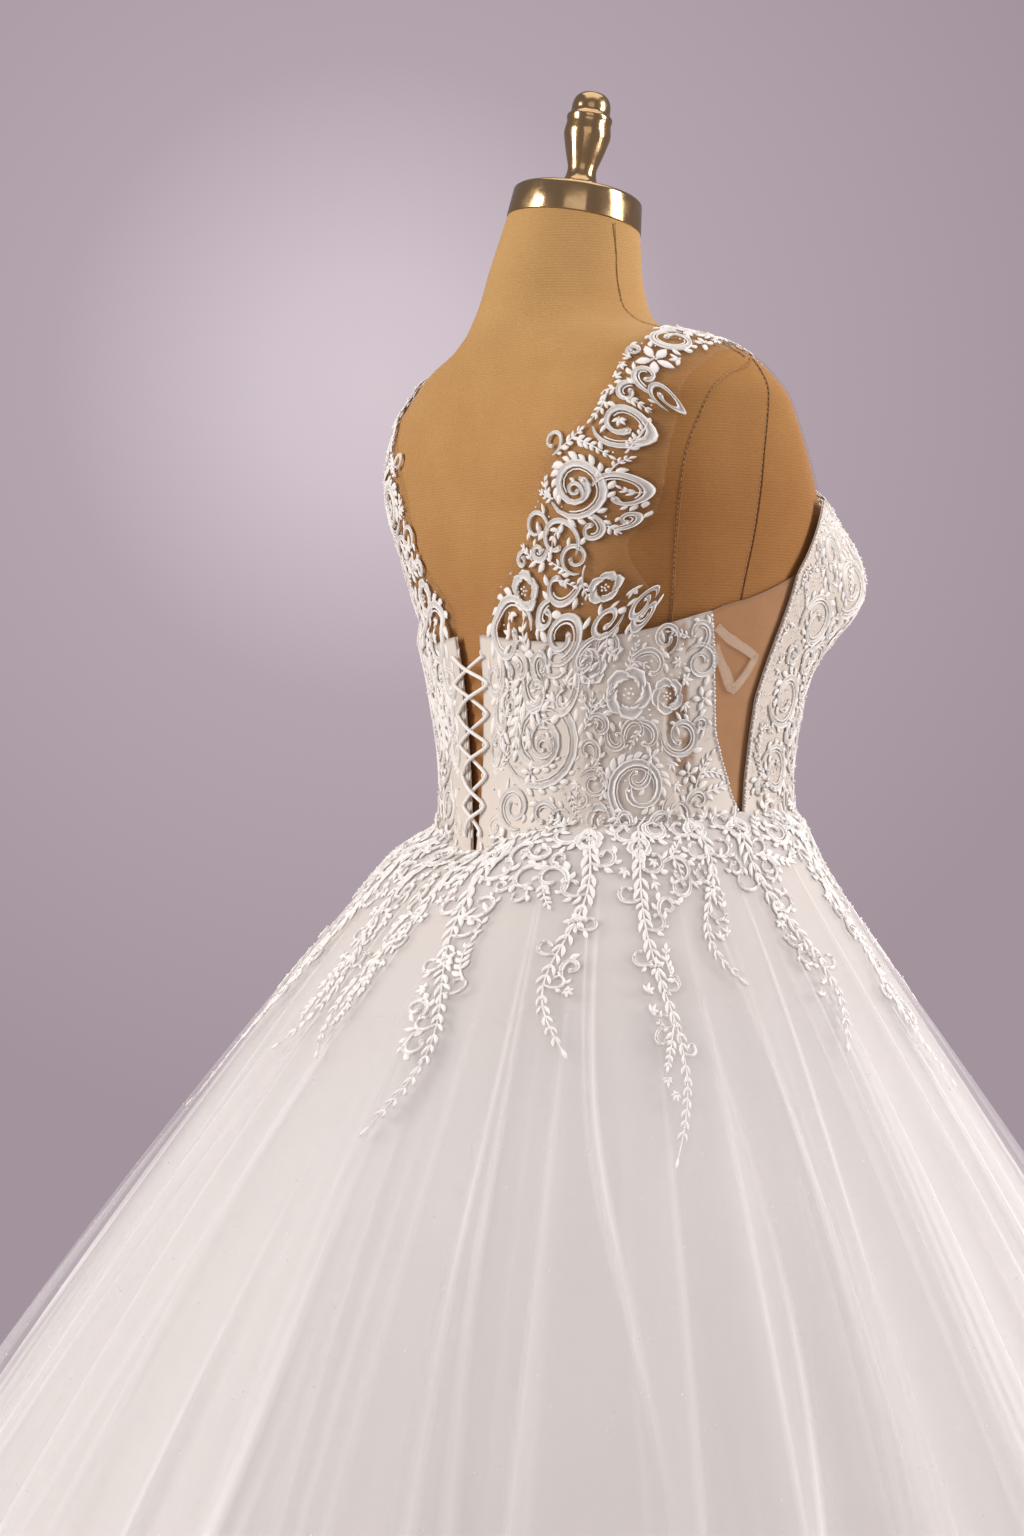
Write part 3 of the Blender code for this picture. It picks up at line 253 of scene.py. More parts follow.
class Ground:
    """A chart's points and outward normals on a fine even grid, read between its points in straight steps."""

    def __init__(self, chart, first, second, inside):
        self.first, self.second = first, second
        self.points = chart(*np.meshgrid(first, second))
        across, up = np.gradient(self.points, axis=1), np.gradient(self.points, axis=0)
        normals = unit(np.cross(across, up))
        turned_in = np.sum(normals * (self.points - inside), -1, keepdims=True) < 0
        self.normals = normals * np.where(turned_in, -1, 1)

    def at(self, first, second, lift):
        """Points of the ground, moved out along its normals by the lift."""
        first, second, lift = np.broadcast_arrays(*(np.asarray(v, float) for v in (first, second, lift)))
        column = np.interp(first, self.first, np.arange(self.first.size))
        row = np.interp(second, self.second, np.arange(self.second.size))
        left = np.minimum(column.astype(int), self.first.size - 2)
        below = np.minimum(row.astype(int), self.second.size - 2)
        s, t = (column - left)[..., None], (row - below)[..., None]
        found = []
        for grid in (self.points, self.normals):
            low = grid[below, left] * (1 - s) + grid[below, left + 1] * s
            high = grid[below + 1, left] * (1 - s) + grid[below + 1, left + 1] * s
            found.append(low * (1 - t) + high * t)
        return found[0] + unit(found[1]) * lift[..., None]


FORM_MIDDLE = np.array((0.0, 0.02, 0.0))  # on the upright line up the form's middle
LEVEL = np.array((1.0, 1.0, 0.0))  # times a vector, leaves its level part
INSIDE = np.array((0.0, 0.02, 1.30))
BODY = Ground(form_chart, np.linspace(-math.pi / 2, 1.5 * math.pi, 721), np.linspace(0.80, 1.56, 381), INSIDE)
YOKE_GROUND = Ground(yoke_chart, np.linspace(-0.208, 0.208, 209), np.linspace(-0.150, 0.440, 296), INSIDE)


def form_lifted(turn, height, lift):
    """The form's points at any turn, moved out; the turn is first taken into the ground's one round."""
    low = -math.pi / 2
    return BODY.at((turn - low) % (2 * math.pi) + low, height, lift)


# ---------------------------------------------------------------- the skirt's flare, as in the solids
FOLDS = 24  # broad waves round the skirt
HEM = 10 * MM  # above the floor
OVERSKIRT_STAND = BODICE_OUT + 1.5 * MM  # off the form at the waist
# The skirt's side line behind and in front: a slope, a start just under the waist seam, where gathers puff
# out or the hip holds the cloth back, and a spring over the hips. The last two level off past their falls.
SIDE_LINE = {
    "back": {"slope": 0.605, "start": 18 * MM, "start_fall": 14 * MM,
             "spring": 130 * MM, "spring_fall": 400 * MM},
    "front": {"slope": 0.50, "start": -15 * MM, "start_fall": 32 * MM,
              "spring": 165 * MM, "spring_fall": 800 * MM},
}
SKIRT_FALL = 1.09  # the longest fall below the waist seam
FOLD_DEPTH = np.array([
    (0.0, 0.0), (0.10, 0.002), (0.25, 0.007), (0.50, 0.017), (0.80, 0.030), (1.10, 0.042),
])


def waist_measure():
    """The form's distance from the upright axis all round the waist seam, and the seam's height."""
    turn = np.linspace(0, 2 * math.pi, 241)
    height = line(SEAM_HEIGHT, np.abs((np.degrees(turn) - 90 + 180) % 360 - 180))

    def points_at(reach):
        return np.stack([reach * np.cos(turn), reach * np.sin(turn), height], -1)

    return turn, reach_of_form(points_at, np.full(turn.shape, 0.3)), height


WAIST_TURN, WAIST_RADIUS, WAIST_HEIGHT = waist_measure()


def flare(place, drop):
    """How far the skirt stands out past the waist: slope times fall, plus its start and its spring."""
    shape = SIDE_LINE[place]
    start = shape["start"] * (1 - np.exp(-((drop / shape["start_fall"]) ** 2)))
    return shape["slope"] * drop + start + shape["spring"] * (1 - np.exp(-drop / shape["spring_fall"]))


def fall_lengths():
    """Lengths of cloth down the skirt against the fall below the waist, midway from back to front."""
    fall = np.linspace(0, SKIRT_FALL, 219)
    out = (flare("back", fall) + flare("front", fall)) / 2
    return fall, np.concatenate([[0], np.cumsum(np.hypot(np.diff(fall), np.diff(out)))])


FALLS, CLOTH_LENGTHS = fall_lengths()
SKIRT_CLOTH = CLOTH_LENGTHS[-1]


def fold_wave(phase):
    """A fold from trough to ridge, -1 to 1, with ridges of unequal height round the skirt."""
    height = 0.75 + 0.25 * np.sin(2 * phase + 0.4) * np.sin(5 * phase + 1.1)
    return height * -np.cos(FOLDS * phase)


def skirt_turn(phase):
    """The direction of a place counted evenly in folds, which lie unevenly round the skirt."""
    return phase + 0.045 * np.sin(3 * phase + 0.7) + 0.025 * np.sin(5 * phase + 2.0)


def skirt_chart(phase, length, stand=OVERSKIRT_STAND, hem=HEM, fullness=1.0, fold=1.0, raised=0.0):
    """A skirt: the waist's outline plus a flare that grows with the fall, broad waves and what is raised."""
    phase, length = np.broadcast_arrays(np.asarray(phase, float), np.asarray(length, float))
    turn = skirt_turn(phase)
    waist = np.interp(turn % (2 * math.pi), WAIST_TURN, WAIST_HEIGHT)
    drop = np.interp(length, CLOTH_LENGTHS, FALLS) * (waist - hem) / SKIRT_FALL
    behind = 0.5 + 0.5 * np.sin(turn)
    out = flare("front", drop) * (1 - behind) + flare("back", drop) * behind
    radius = np.interp(turn % (2 * math.pi), WAIST_TURN, WAIST_RADIUS) + stand + out * fullness
    radius = radius + fold * 0.5 * line(FOLD_DEPTH, drop) * fold_wave(phase) + raised
    return np.stack([radius * np.cos(turn), radius * np.sin(turn), waist - drop], -1)


def soft_step(t):
    """Nought to one, level at both ends."""
    t = np.clip(t, 0, 1)
    return t * t * (3 - 2 * t)


def between(value, low, high, ease):
    """One from low to high and nought outside them, with a soft step as wide as the ease inside each."""
    return soft_step((value - low) / ease) * soft_step((high - value) / ease)


class Folds:
    """Long narrow folds round one layer of a skirt: each has an angle at the waist and a strength.

    They lean aside as they fall, by an angle that changes slowly round the skirt, so two layers' folds cross.
    """

    LEANS = ((0.070, 2), (0.035, 5), (0.012, 11))  # radians by the hem, and waves round the skirt
    # A fold's steep side, its long side and its dense crest, in radians, and the shares of the last two.
    SHARP, LONG, CREST = 0.012, 0.060, 0.0055
    LONG_SHARE, CREST_SHARE = 0.28, 0.72

    def __init__(self, seed, count, depth):
        rng = np.random.default_rng(seed)
        self.place = 2 * math.pi * (np.arange(count) + rng.uniform(-0.36, 0.36, count)) / count
        self.strength = rng.uniform(0.2, 1.0, count)
        self.begin = rng.choice((0.0, 0.02, 0.08, 0.20), count)
        self.hand = rng.choice((-1, 1), count)
        self.depth, self.starts = depth, rng.uniform(0, 2 * math.pi, len(self.LEANS))

    def lean(self, waist, part):
        """How far a place has leaned aside: slow waves round the skirt, times the part of the way down."""
        waves = zip(self.LEANS, self.starts)
        return part * sum(size * np.sin(count * waist + start) for (size, count), start in waves)

    def waist_of(self, phase, part):
        """The place at the waist that a place below hangs from, found by correcting it again and again."""
        found = phase
        for _ in range(12):
            found = phase - self.lean(found, part)
        return found

    def columns(self):
        """Angles at the waist for a mesh's columns: close beside each crest and wide between them."""
        gap = np.diff(np.append(self.place, self.place[0] + 2 * math.pi))[:, None]
        near, far = np.minimum(self.CREST, 0.10 * gap), np.minimum(2.6 * self.CREST, 0.22 * gap)
        wide = far + (gap - 2 * far) * np.array((0.25, 0.5, 0.75))
        steps = np.concatenate([0 * gap, near, far, wide, gap - far, gap - near], 1)
        return (self.place[:, None] + steps).ravel()

    def relief(self, waist, part):
        """The folds' height in metres and their density: a steep side, a long side, and a doubled crest."""
        height, density = 0.0 * waist * part, 0.0 * waist * part
        for place, strength, begin, hand in zip(self.place, self.strength, self.begin, self.hand):
            off = hand * ((waist - place + math.pi) % (2 * math.pi) - math.pi)
            grown = strength * soft_step((part - begin) / 0.25)
            steep, gentle = np.exp(-((off / self.SHARP) ** 2)), np.exp(-np.abs(off) / self.LONG)
            height = height + grown * np.where(off < 0, steep, gentle)
            crest = np.exp(-((off / self.CREST) ** 2))
            density = density + grown * (self.CREST_SHARE * crest + self.LONG_SHARE * gentle * (off > 0))
        return self.depth * np.clip(part, 0, 1) ** 0.8 * height, density


# ---------------------------------------------------------------- meshes
def piece(name, points, faces, finish, smooth=True, sharp=180):
    """An object at the origin from points and faces, with its finish, riding on the one body.

    It is shaded smooth, but for edges that bend by more than the angle sharp, in degrees.
    """
    mesh = bpy.data.meshes.new(name)
    mesh.from_pydata(points, [], faces.tolist() if isinstance(faces, np.ndarray) else faces)
    mesh.materials.append(finish)
    if smooth:
        mesh.shade_smooth()
    if sharp < 180:
        mesh.set_sharp_from_angle(angle=math.radians(sharp))
    made = bpy.data.objects.new(name, mesh)
    bpy.context.scene.collection.objects.link(made)
    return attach(made, "root")


def carry(made, name, values):
    """Gives each of a piece's points a number, or three in a row, under a name."""
    kind, key = ("FLOAT", "value") if values.ndim == 1 else ("FLOAT_VECTOR", "vector")
    made.data.attributes.new(name, kind, "POINT").data.foreach_set(key, values.ravel())


def grid_faces(rows, columns, round_it=False):
    """The squares of a grid of points, closed round if asked."""
    index = np.arange(rows * columns).reshape(rows, columns)
    if round_it:
        index = np.concatenate([index, index[:, :1]], 1)
    return np.stack([index[:-1, :-1], index[:-1, 1:], index[1:, 1:], index[1:, :-1]], -1).reshape(-1, 4)


def wall(name, inner, outer, finish):
    """A closed sheet between an inner and an outer grid of points, its four edges walled in."""
    rows, columns = inner.shape[:2]
    count = rows * columns
    index = np.arange(count).reshape(rows, columns)
    rim = np.concatenate([index[:, 0], index[-1, 1:], index[-2::-1, -1], index[0, -2:0:-1]])
    after = np.roll(rim, -1)
    faces = grid_faces(rows, columns)
    walls = np.stack([rim, after, after + count, rim + count], -1)
    points = np.concatenate([inner.reshape(-1, 3), outer.reshape(-1, 3)])
    made = piece(name, points, np.concatenate([faces[:, ::-1], faces + count, walls]), finish)
    return outwards(made)


def outwards(made):
    """Turns a closed mesh's faces out, by the sign of its volume."""
    mesh = made.data
    mesh.calc_loop_triangles()
    corners = np.zeros(len(mesh.loop_triangles) * 3, np.int32)
    mesh.loop_triangles.foreach_get("vertices", corners)
    points = np.zeros(len(mesh.vertices) * 3)
    mesh.vertices.foreach_get("co", points)
    a, b, c = points.reshape(-1, 3)[corners].reshape(-1, 3, 3).transpose(1, 0, 2)
    if np.sum(a * np.cross(b, c)) < 0:
        mesh.flip_normals()
    return made


def placed(points, place):
    """Points turned and moved by a place."""
    return points @ np.array(place.to_3x3()).T + np.array(place.translation)


def turned(name, profile, sides, place, finish):
    """A turned piece: a profile of radius and height, from axis to axis, spun round and put in place."""
    radius, height = np.array(profile, float).T
    ring = np.linspace(0, 2 * math.pi, sides, endpoint=False)
    radius = np.maximum(radius, 0.05 * MM)[:, None]
    body = np.stack([radius * np.cos(ring), radius * np.sin(ring), height[:, None] + 0 * ring], -1)
    faces = grid_faces(len(profile), sides, True)
    return outwards(piece(name, placed(body.reshape(-1, 3), place), faces, finish, sharp=38))


def rounded(profile, corner, steps=4):
    """A profile with each inner corner eased by a short quadratic curve between two points near it."""
    points = np.array(profile, float)
    out = [points[0]]
    for before, here, after in zip(points[:-2], points[1:-1], points[2:]):
        back, ahead = before - here, after - here
        size_back, size_ahead = np.linalg.norm(back), np.linalg.norm(ahead)
        start = here + back / size_back * min(corner, size_back * 0.45)
        end = here + ahead / size_ahead * min(corner, size_ahead * 0.45)
        t = np.linspace(0, 1, steps)[:, None]
        out.extend((1 - t) ** 2 * start + 2 * t * (1 - t) * here + t * t * end)
    return np.array([*out, points[-1]])


# ---------------------------------------------------------------- finishes
def finish(name, color, roughness, **sockets):
    """A material with its shader, and the node tree to add to."""
    made = bpy.data.materials.new(name)
    made.use_nodes = True
    tree = made.node_tree
    shader = tree.nodes["Principled BSDF"]
    shader.inputs["Base Color"].default_value = (*color, 1.0)
    shader.inputs["Roughness"].default_value = roughness
    for socket, value in sockets.items():
        shader.inputs[socket.replace("_", " ")].default_value = value
    return made, tree, shader


def add(tree, kind, settings=None, **inputs):
    """A node of a kind, with its settings, and its inputs set to values or linked to outputs."""
    made = tree.nodes.new(kind)
    for key, value in (settings or {}).items():
        setattr(made, key, value)
    for key, value in inputs.items():
        numbered = key[0] == "i" and key[1:].isdigit()
        socket = made.inputs[int(key[1:]) if numbered else key.replace("_", " ")]
        if isinstance(value, bpy.types.NodeSocket):
            tree.links.new(value, socket)
        else:
            socket.default_value = value
    return made


def place_of(tree, scale=(1, 1, 1)):
    """The point's place on its object, scaled."""
    where = add(tree, "ShaderNodeTexCoord").outputs["Object"]
    return add(tree, "ShaderNodeMapping", Vector=where, Scale=scale).outputs["Vector"]


def tones(tree, value, *stops):
    """A colour ramp read at a value: stops of place and colour."""
    ramp = add(tree, "ShaderNodeValToRGB", Fac=value)
    marks = ramp.color_ramp.elements
    while len(marks) < len(stops):
        marks.new(0.5)
    for mark, (where, color) in zip(marks, stops):
        mark.position = where
        mark.color = (*color, 1.0)
    return ramp.outputs["Color"]


def noise(tree, place, scale, detail=2.0, **more):
    """A noise at a place: its value, from its scale and detail."""
    return add(tree, "ShaderNodeTexNoise", Vector=place, Scale=scale, Detail=detail, **more).outputs["Fac"]


def noise_on_cloth(tree, place, scale, detail):
    """A noise over the cloth laid flat."""
    flat = {"noise_dimensions": "2D"}
    return add(tree, "ShaderNodeTexNoise", flat, Vector=place, Scale=scale, Detail=detail).outputs["Fac"]


def ranged(tree, value, low, high, start=0.0, end=1.0, soft=False):
    """A value carried from one range to another and kept inside it, straight or with soft ends."""
    settings = {"interpolation_type": "SMOOTHSTEP" if soft else "LINEAR"}
    made = add(tree, "ShaderNodeMapRange", settings, Value=value, i1=low, i2=high, i3=start, i4=end)
    return made.outputs["Result"]


def reckon(tree, operation, *values):
    """A sum, product or other piece of arithmetic on values and numbers."""
    inputs = {f"i{number}": value for number, value in enumerate(values)}
    return add(tree, "ShaderNodeMath", {"operation": operation}, **inputs).outputs[0]


def shaded(tree, base, shade, share=1.0):
    """A colour multiplied by another, or by a share of it."""
    settings = {"data_type": "RGBA", "blend_type": "MULTIPLY"}
    return add(tree, "ShaderNodeMix", settings, i0=share, i6=base, i7=shade).outputs[2]


def attribute(tree, name, socket="Fac"):
    """What a piece's points carry under a name."""
    return add(tree, "ShaderNodeAttribute", {"attribute_name": name}).outputs[socket]


def bump(tree, shader, height, distance, strength=1.0):
    """Raises the surface by a height, over a distance in metres."""
    node = add(tree, "ShaderNodeBump", Height=height, Distance=distance, Strength=strength)
    tree.links.new(node.outputs["Normal"], shader.inputs["Normal"])


def paint(tree, shader, color):
    """Leads a colour to the shader."""
    tree.links.new(color, shader.inputs["Base Color"])


WHITE = (1.0, 1.0, 1.0)


def jersey_finish():
    """Tan ribbed jersey with a soft nap: level ribs, mottled, deeper at the arm plates, and paler up to the
    neck by painted light.
    """
    made, tree, shader = finish("tan_ribbed_jersey", (0.44, 0.22, 0.07), 0.85, Sheen_Weight=0.15,
                                Sheen_Roughness=0.4)
    shader.inputs["Sheen Tint"].default_value = (0.95, 0.70, 0.38, 1.0)
    where = place_of(tree)
    across, _, height = add(tree, "ShaderNodeSeparateXYZ", Vector=where).outputs
    mottle = noise(tree, where, 14.0, 4.0, Roughness=0.6)
    nap = noise(tree, place_of(tree, (1, 1, 2.6)), 480.0, 3.0)
    # painted light: the base tone grows paler from 1.12 m up to the neck, as if lit from above
    level = ranged(tree, height, 1.12, 1.54)
    uneven = reckon(tree, "MULTIPLY_ADD", mottle, 0.70, -0.35)
    mixed = reckon(tree, "ADD", level, uneven)
    base = tones(tree, mixed, (0.0, (0.37, 0.155, 0.042)), (0.5, (0.45, 0.225, 0.066)),
                 (1.0, (0.52, 0.30, 0.105)))
    plate = ranged(tree, reckon(tree, "ABSOLUTE", across), 0.13, 0.19)
    deep = tones(tree, plate, (0.0, WHITE), (1.0, (0.80, 0.68, 0.52)))
    speck = tones(tree, nap, (0.30, (0.82, 0.80, 0.77)), (0.72, WHITE))
    paint(tree, shader, shaded(tree, shaded(tree, base, deep), speck, 0.85))
    ribs = add(tree, "ShaderNodeTexWave", {"bands_direction": "Z"}, Vector=where, Scale=142.0, Distortion=0.5,
               Detail=2.0, Detail_Scale=1.5)
    bump(tree, shader, reckon(tree, "MULTIPLY_ADD", nap, 1.1, ribs.outputs["Fac"]), 0.26 * MM, 0.45)
    return made


def satin_finish(name, color, alpha=1.0):
    """Soft ivory satin with a fine slub: long thin noise along the fall of the cloth."""
    made, tree, shader = finish(name, color, 0.46, Sheen_Weight=0.25, Alpha=alpha)
    slub = noise(tree, place_of(tree, (1, 1, 0.22)), 420.0, 3.0)
    cloud = noise(tree, place_of(tree), 9.0, 3.0)
    low, high = tuple(c * 0.93 for c in color), tuple(min(1.0, c * 1.03) for c in color)
    paint(tree, shader, tones(tree, cloud, (0.3, low), (0.7, high)))
    bump(tree, shader, slub, 0.12 * MM, 0.35)
    return made


def panel_finish(name, color, net):
    """Satin that gives way to nude net where the attribute window says so, in patches with frayed edges."""
    made = satin_finish(name, color)
    tree = made.node_tree
    shader = next(node for node in tree.nodes if node.type == "BSDF_PRINCIPLED")
    satin = shader.inputs["Base Color"].links[0].from_socket
    window = attribute(tree, "window")
    open_here = ranged(tree, noise(tree, place_of(tree), 34.0, 3.0), 0.38, 0.48)
    share = reckon(tree, "MULTIPLY", window, open_here)
    both = add(tree, "ShaderNodeMix", {"data_type": "RGBA"}, i0=share, i6=satin, i7=(*net, 1.0))
    paint(tree, shader, both.outputs[2])
    return made


def net_finish(name, color, alpha):
    """A fine even net, seen as a see-through haze that is a little uneven."""
    made, tree, shader = finish(name, color, 0.75, Sheen_Weight=0.2)
    cloud = noise(tree, place_of(tree), 26.0, 5.0, Roughness=0.7)
    haze = ranged(tree, cloud, 0.3, 0.7, alpha * 0.9, min(1.0, alpha * 1.1))
    tree.links.new(haze, shader.inputs["Alpha"])
    return made


def tulle_finish(name, color, alpha, lines):
    """Soft tulle: a see-through haze, denser and whiter on the folds' crests and along fine lines of overlap.

    The lines are the edges of bands that run down the cloth and waver; each band has a density of its own.
    Just under the waist the gathers are packed close, so the haze is denser and warmer there.
    """
    made, tree, shader = finish(name, color, 0.85, Sheen_Weight=0.2, Sheen_Roughness=0.5)
    gather, cloth = attribute(tree, "gather"), attribute(tree, "cloth", "Vector")
    around, down, _ = add(tree, "ShaderNodeSeparateXYZ", Vector=cloth).outputs
    waver = reckon(tree, "MULTIPLY", noise_on_cloth(tree, cloth, 1.4, 1.0), 0.35)
    place = reckon(tree, "ADD", around, waver)
    band = {"voronoi_dimensions": "1D"}
    edge = add(tree, "ShaderNodeTexVoronoi", {"feature": "DISTANCE_TO_EDGE", **band}, W=place, Scale=lines)
    each = add(tree, "ShaderNodeTexVoronoi", band, W=place, Scale=lines).outputs["Color"]
    strength = ranged(tree, noise_on_cloth(tree, cloth, 2.2, 2.0), 0.38, 0.62, 0.0, 0.85)
    thin = ranged(tree, edge.outputs["Distance"], 0.0, 0.045, 1.0, 0.0)
    both = reckon(tree, "ADD", gather, reckon(tree, "MULTIPLY", thin, strength))
    shade = reckon(tree, "MULTIPLY_ADD", each, 0.35, both)
    haze = ranged(tree, shade, 0.0, 1.3, alpha * 0.72, min(0.95, alpha * 3.0))
    packed = ranged(tree, down, 0.02, 0.22, 0.40, 0.0, soft=True)
    tree.links.new(reckon(tree, "ADD", haze, packed), shader.inputs["Alpha"])
    pale = tuple(min(1.0, c * 1.10) for c in color)
    base = tones(tree, shade, (0.1, color), (0.9, pale))
    warm = tones(tree, packed, (0.0, WHITE), (0.40, (1.0, 0.96, 0.92)))
    paint(tree, shader, shaded(tree, base, warm))
    return made


def thread_finish(name, color, painted_shade_shares):
    """Corded embroidery thread with a fine twist, and painted shade: darker where the lace lies low between
    its cords.
    """
    made, tree, shader = finish(name, color, 0.55, Sheen_Weight=0.2)
    twist = noise(tree, place_of(tree), 900.0, 3.0, Roughness=0.6)
    # painted shade: where the lace lies low between its cords, its colour falls to the darker shares
    level = reckon(tree, "MULTIPLY_ADD", twist, 0.5, attribute(tree, "rise"))
    low, middle = (tuple(c * share for c in color) for share in painted_shade_shares)
    paint(tree, shader, tones(tree, level, (0.25, low), (0.75, middle), (1.1, color)))
    bump(tree, shader, twist, 0.35 * MM, 0.8)
    return made


def brass_finish():
    """Polished brass with faint turning lines and cloudy tarnish."""
    made, tree, shader = finish("polished_brass", (0.54, 0.37, 0.20), 0.16, Metallic=1.0)
    cloud = noise(tree, place_of(tree), 60.0, 4.0)
    tree.links.new(ranged(tree, cloud, 0.35, 0.75, 0.10, 0.30), shader.inputs["Roughness"])
    paint(tree, shader, tones(tree, cloud, (0.3, (0.58, 0.40, 0.215)), (0.8, (0.43, 0.28, 0.135))))
    rings = noise(tree, place_of(tree, (0.05, 0.05, 1)), 900.0, 1.0)
    bump(tree, shader, rings, 0.03 * MM, 0.5)
    return made


def steel_finish():
    """Grey painted steel with a light orange-peel."""
    made, tree, shader = finish("grey_steel", (0.22, 0.22, 0.23), 0.42, Metallic=0.55)
    peel = noise(tree, place_of(tree), 260.0)
    paint(tree, shader, tones(tree, peel, (0.3, (0.20, 0.20, 0.21)), (0.7, (0.25, 0.25, 0.26))))
    bump(tree, shader, peel, 0.08 * MM, 0.4)
    return made


def pearl_finish():
    """Pearl and crystal beads: glossy, with a faint cloud of tone."""
    made, tree, shader = finish("pearl_bead", (0.95, 0.92, 0.89), 0.14, Coat_Weight=0.6, Coat_Roughness=0.05)
    tone = noise(tree, place_of(tree), 300.0)
    paint(tree, shader, tones(tree, tone, (0.35, (0.86, 0.82, 0.79)), (0.65, (0.98, 0.96, 0.94))))
    return made


JERSEY = jersey_finish()
BRASS = brass_finish()
STEEL = steel_finish()
SATIN = satin_finish("ivory_satin", (0.70, 0.62, 0.54))
PANEL_SATIN = panel_finish("ivory_panel", (0.72, 0.645, 0.57), (0.34, 0.215, 0.13))
LINING = satin_finish("underskirt_satin", (0.80, 0.76, 0.735))
RIBBON = satin_finish("sheer_ribbon", (0.90, 0.76, 0.60), 0.22)
NUDE_NET = net_finish("nude_net", (0.52, 0.30, 0.14), 0.09)
SIDE_NET = net_finish("side_net", (0.43, 0.215, 0.092), 0.88)
# Each thread's two shares darken its colour as painted shade where the lace lies low between its cords.
THREAD = thread_finish("ivory_thread", (0.90, 0.86, 0.82), (0.60, 0.86))
HIP_THREAD = thread_finish("pale_thread", (0.95, 0.92, 0.89), (0.88, 0.96))
CORD = satin_finish("ivory_cord", (0.90, 0.87, 0.83))
PEARL = pearl_finish()
GLITTER = finish("glitter_fleck", (0.98, 0.96, 0.95), 0.12, Metallic=0.3, Coat_Weight=0.8)[0]
TULLE_OUTER = tulle_finish("outer_tulle", (0.86, 0.84, 0.84), 0.115, 4.2)
TULLE_MIDDLE = tulle_finish("middle_tulle", (0.86, 0.84, 0.83), 0.28, 3.4)
TULLE_INNER = tulle_finish("inner_tulle", (0.86, 0.83, 0.81), 0.46, 2.6)


# ---------------------------------------------------------------- the form and its stand
def neck_place(up):
    """The place of a piece that stands up from the leaning top of the neck."""
    lean = Matrix.Rotation(NECK_LEAN, 4, "X")
    return Matrix.Translation(NECK_TOP + lean @ Vector((0, 0, up))) @ lean


def build_form():
    """The covered trunk: level rings up to the neck's root, then rings that lean over to meet the cap."""
    sides = 144
    turn = np.linspace(0, 2 * math.pi, sides, endpoint=False)
    heights = np.linspace(FORM_FOOT, NECK_ROOT, 140)[:, None]
    rings = form_lifted(turn, heights, -COVER_SINK)
    circle = np.stack([NECK_RADIUS * np.cos(turn), NECK_RADIUS * np.sin(turn), 0 * turn], -1)
    circle = placed(circle, neck_place(-SEAT_GAP))
    share = np.linspace(0, 1, 14)[1:, None, None]
    lean = rings[-1][None] * (1 - share) + circle[None] * share
    rings = np.concatenate([rings, lean])
    ends = [rings[0].mean(0), rings[-1].mean(0)]
    points = np.concatenate([rings.reshape(-1, 3), ends])
    faces = grid_faces(len(rings), sides, True).tolist()
    first, last = np.arange(sides), np.arange(sides) + (len(rings) - 1) * sides
    faces += [(int(b), int(a), len(points) - 2) for a, b in zip(first, np.roll(first, -1))]
    faces += [(int(a), int(b), len(points) - 1) for a, b in zip(last, np.roll(last, -1))]
    made = outwards(piece("form_cover", points, faces, JERSEY, sharp=50))
    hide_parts("form_torso")


# Seams of the cover on each side, as height and degrees past the centre back: down the neck to the shoulder's
# end, round the armhole plate and down the back, and down the side.
COVER_SEAMS = {
    "neck": ((1.556, 94), (1.527, 98.5), (1.502, 98.8), (1.485, 97), (1.468, 96), (1.452, 97), (1.440, 98)),
    "plate": ((1.440, 102.8), (1.426, 88), (1.412, 81.5), (1.387, 77.2), (1.354, 73.5), (1.299, 71.2),
              (1.242, 71.0), (1.160, 68), (1.060, 66)),
    "side": ((1.440, 104), (1.405, 98.2), (1.357, 94.0), (1.310, 92.8), (1.264, 91.5), (1.180, 91),
             (1.060, 91)),
}
WELT_RADIUS, STITCH_RADIUS = 0.55 * MM, 0.34 * MM
STITCH, STITCH_STEP = 2.4 * MM, 4.2 * MM


def build_cover_seams():
    """Each seam as a fine raised welt, and a row of stitches beside it."""
    welts, stitches = [], []
    for rows in COVER_SEAMS.values():
        table = np.array(rows)
        part = np.linspace(0, 1, len(table))
        fine = np.linspace(0, 1, 90)
        path = np.stack([smooth_column(np.stack([part, table[:, k]], 1), 1, fine) for k in (0, 1)], 1)
        for side in (1, -1):
            welts.append(BODY.at(turn_of(path[:, 1], side), path[:, 0], 0.0))
            stitches.append(BODY.at(turn_of(path[:, 1] - 0.5, side), path[:, 0], -0.25 * MM))
    tubes("form_cover_welts", welts, WELT_RADIUS, 6, JERSEY)
    dashes = []
    for path in stitches:
        along = lengths_along(path)
        for start in np.arange(1 * MM, along[-1] - 3 * MM, STITCH_STEP):
            dashes.append(read_at(path, along, np.linspace(start, start + STITCH, 3)))
    tubes("form_cover_stitches", dashes, STITCH_RADIUS, 5, RIBBON)


def tubes(name, paths, radius, sides, finish):
    """Round tubes along paths, with flat ends, joined in one mesh; the radius may vary along a path."""
    points, faces, count = [], [], 0
    for path in paths:
        path = np.asarray(path, float)
        along = unit(np.gradient(path, axis=0))
        outward = unit((path - FORM_MIDDLE) * LEVEL)
        across = unit(np.cross(along, outward))
        up = np.cross(across, along)
        ring = np.linspace(0, 2 * math.pi, sides, endpoint=False)
        wide = np.broadcast_to(np.asarray(radius, float), (len(path),))[:, None, None]
        spokes = across[:, None] * np.cos(ring)[:, None] + up[:, None] * np.sin(ring)[:, None]
        body = path[:, None] + wide * spokes
        points.append(body.reshape(-1, 3))
        faces.extend((grid_faces(len(path), sides, True) + count).tolist())
        first = np.arange(sides) + count
        faces.append(first.tolist())
        faces.append((first + (len(path) - 1) * sides)[::-1].tolist())
        count += len(path) * sides
    return outwards(piece(name, np.concatenate(points), faces, finish, sharp=60))


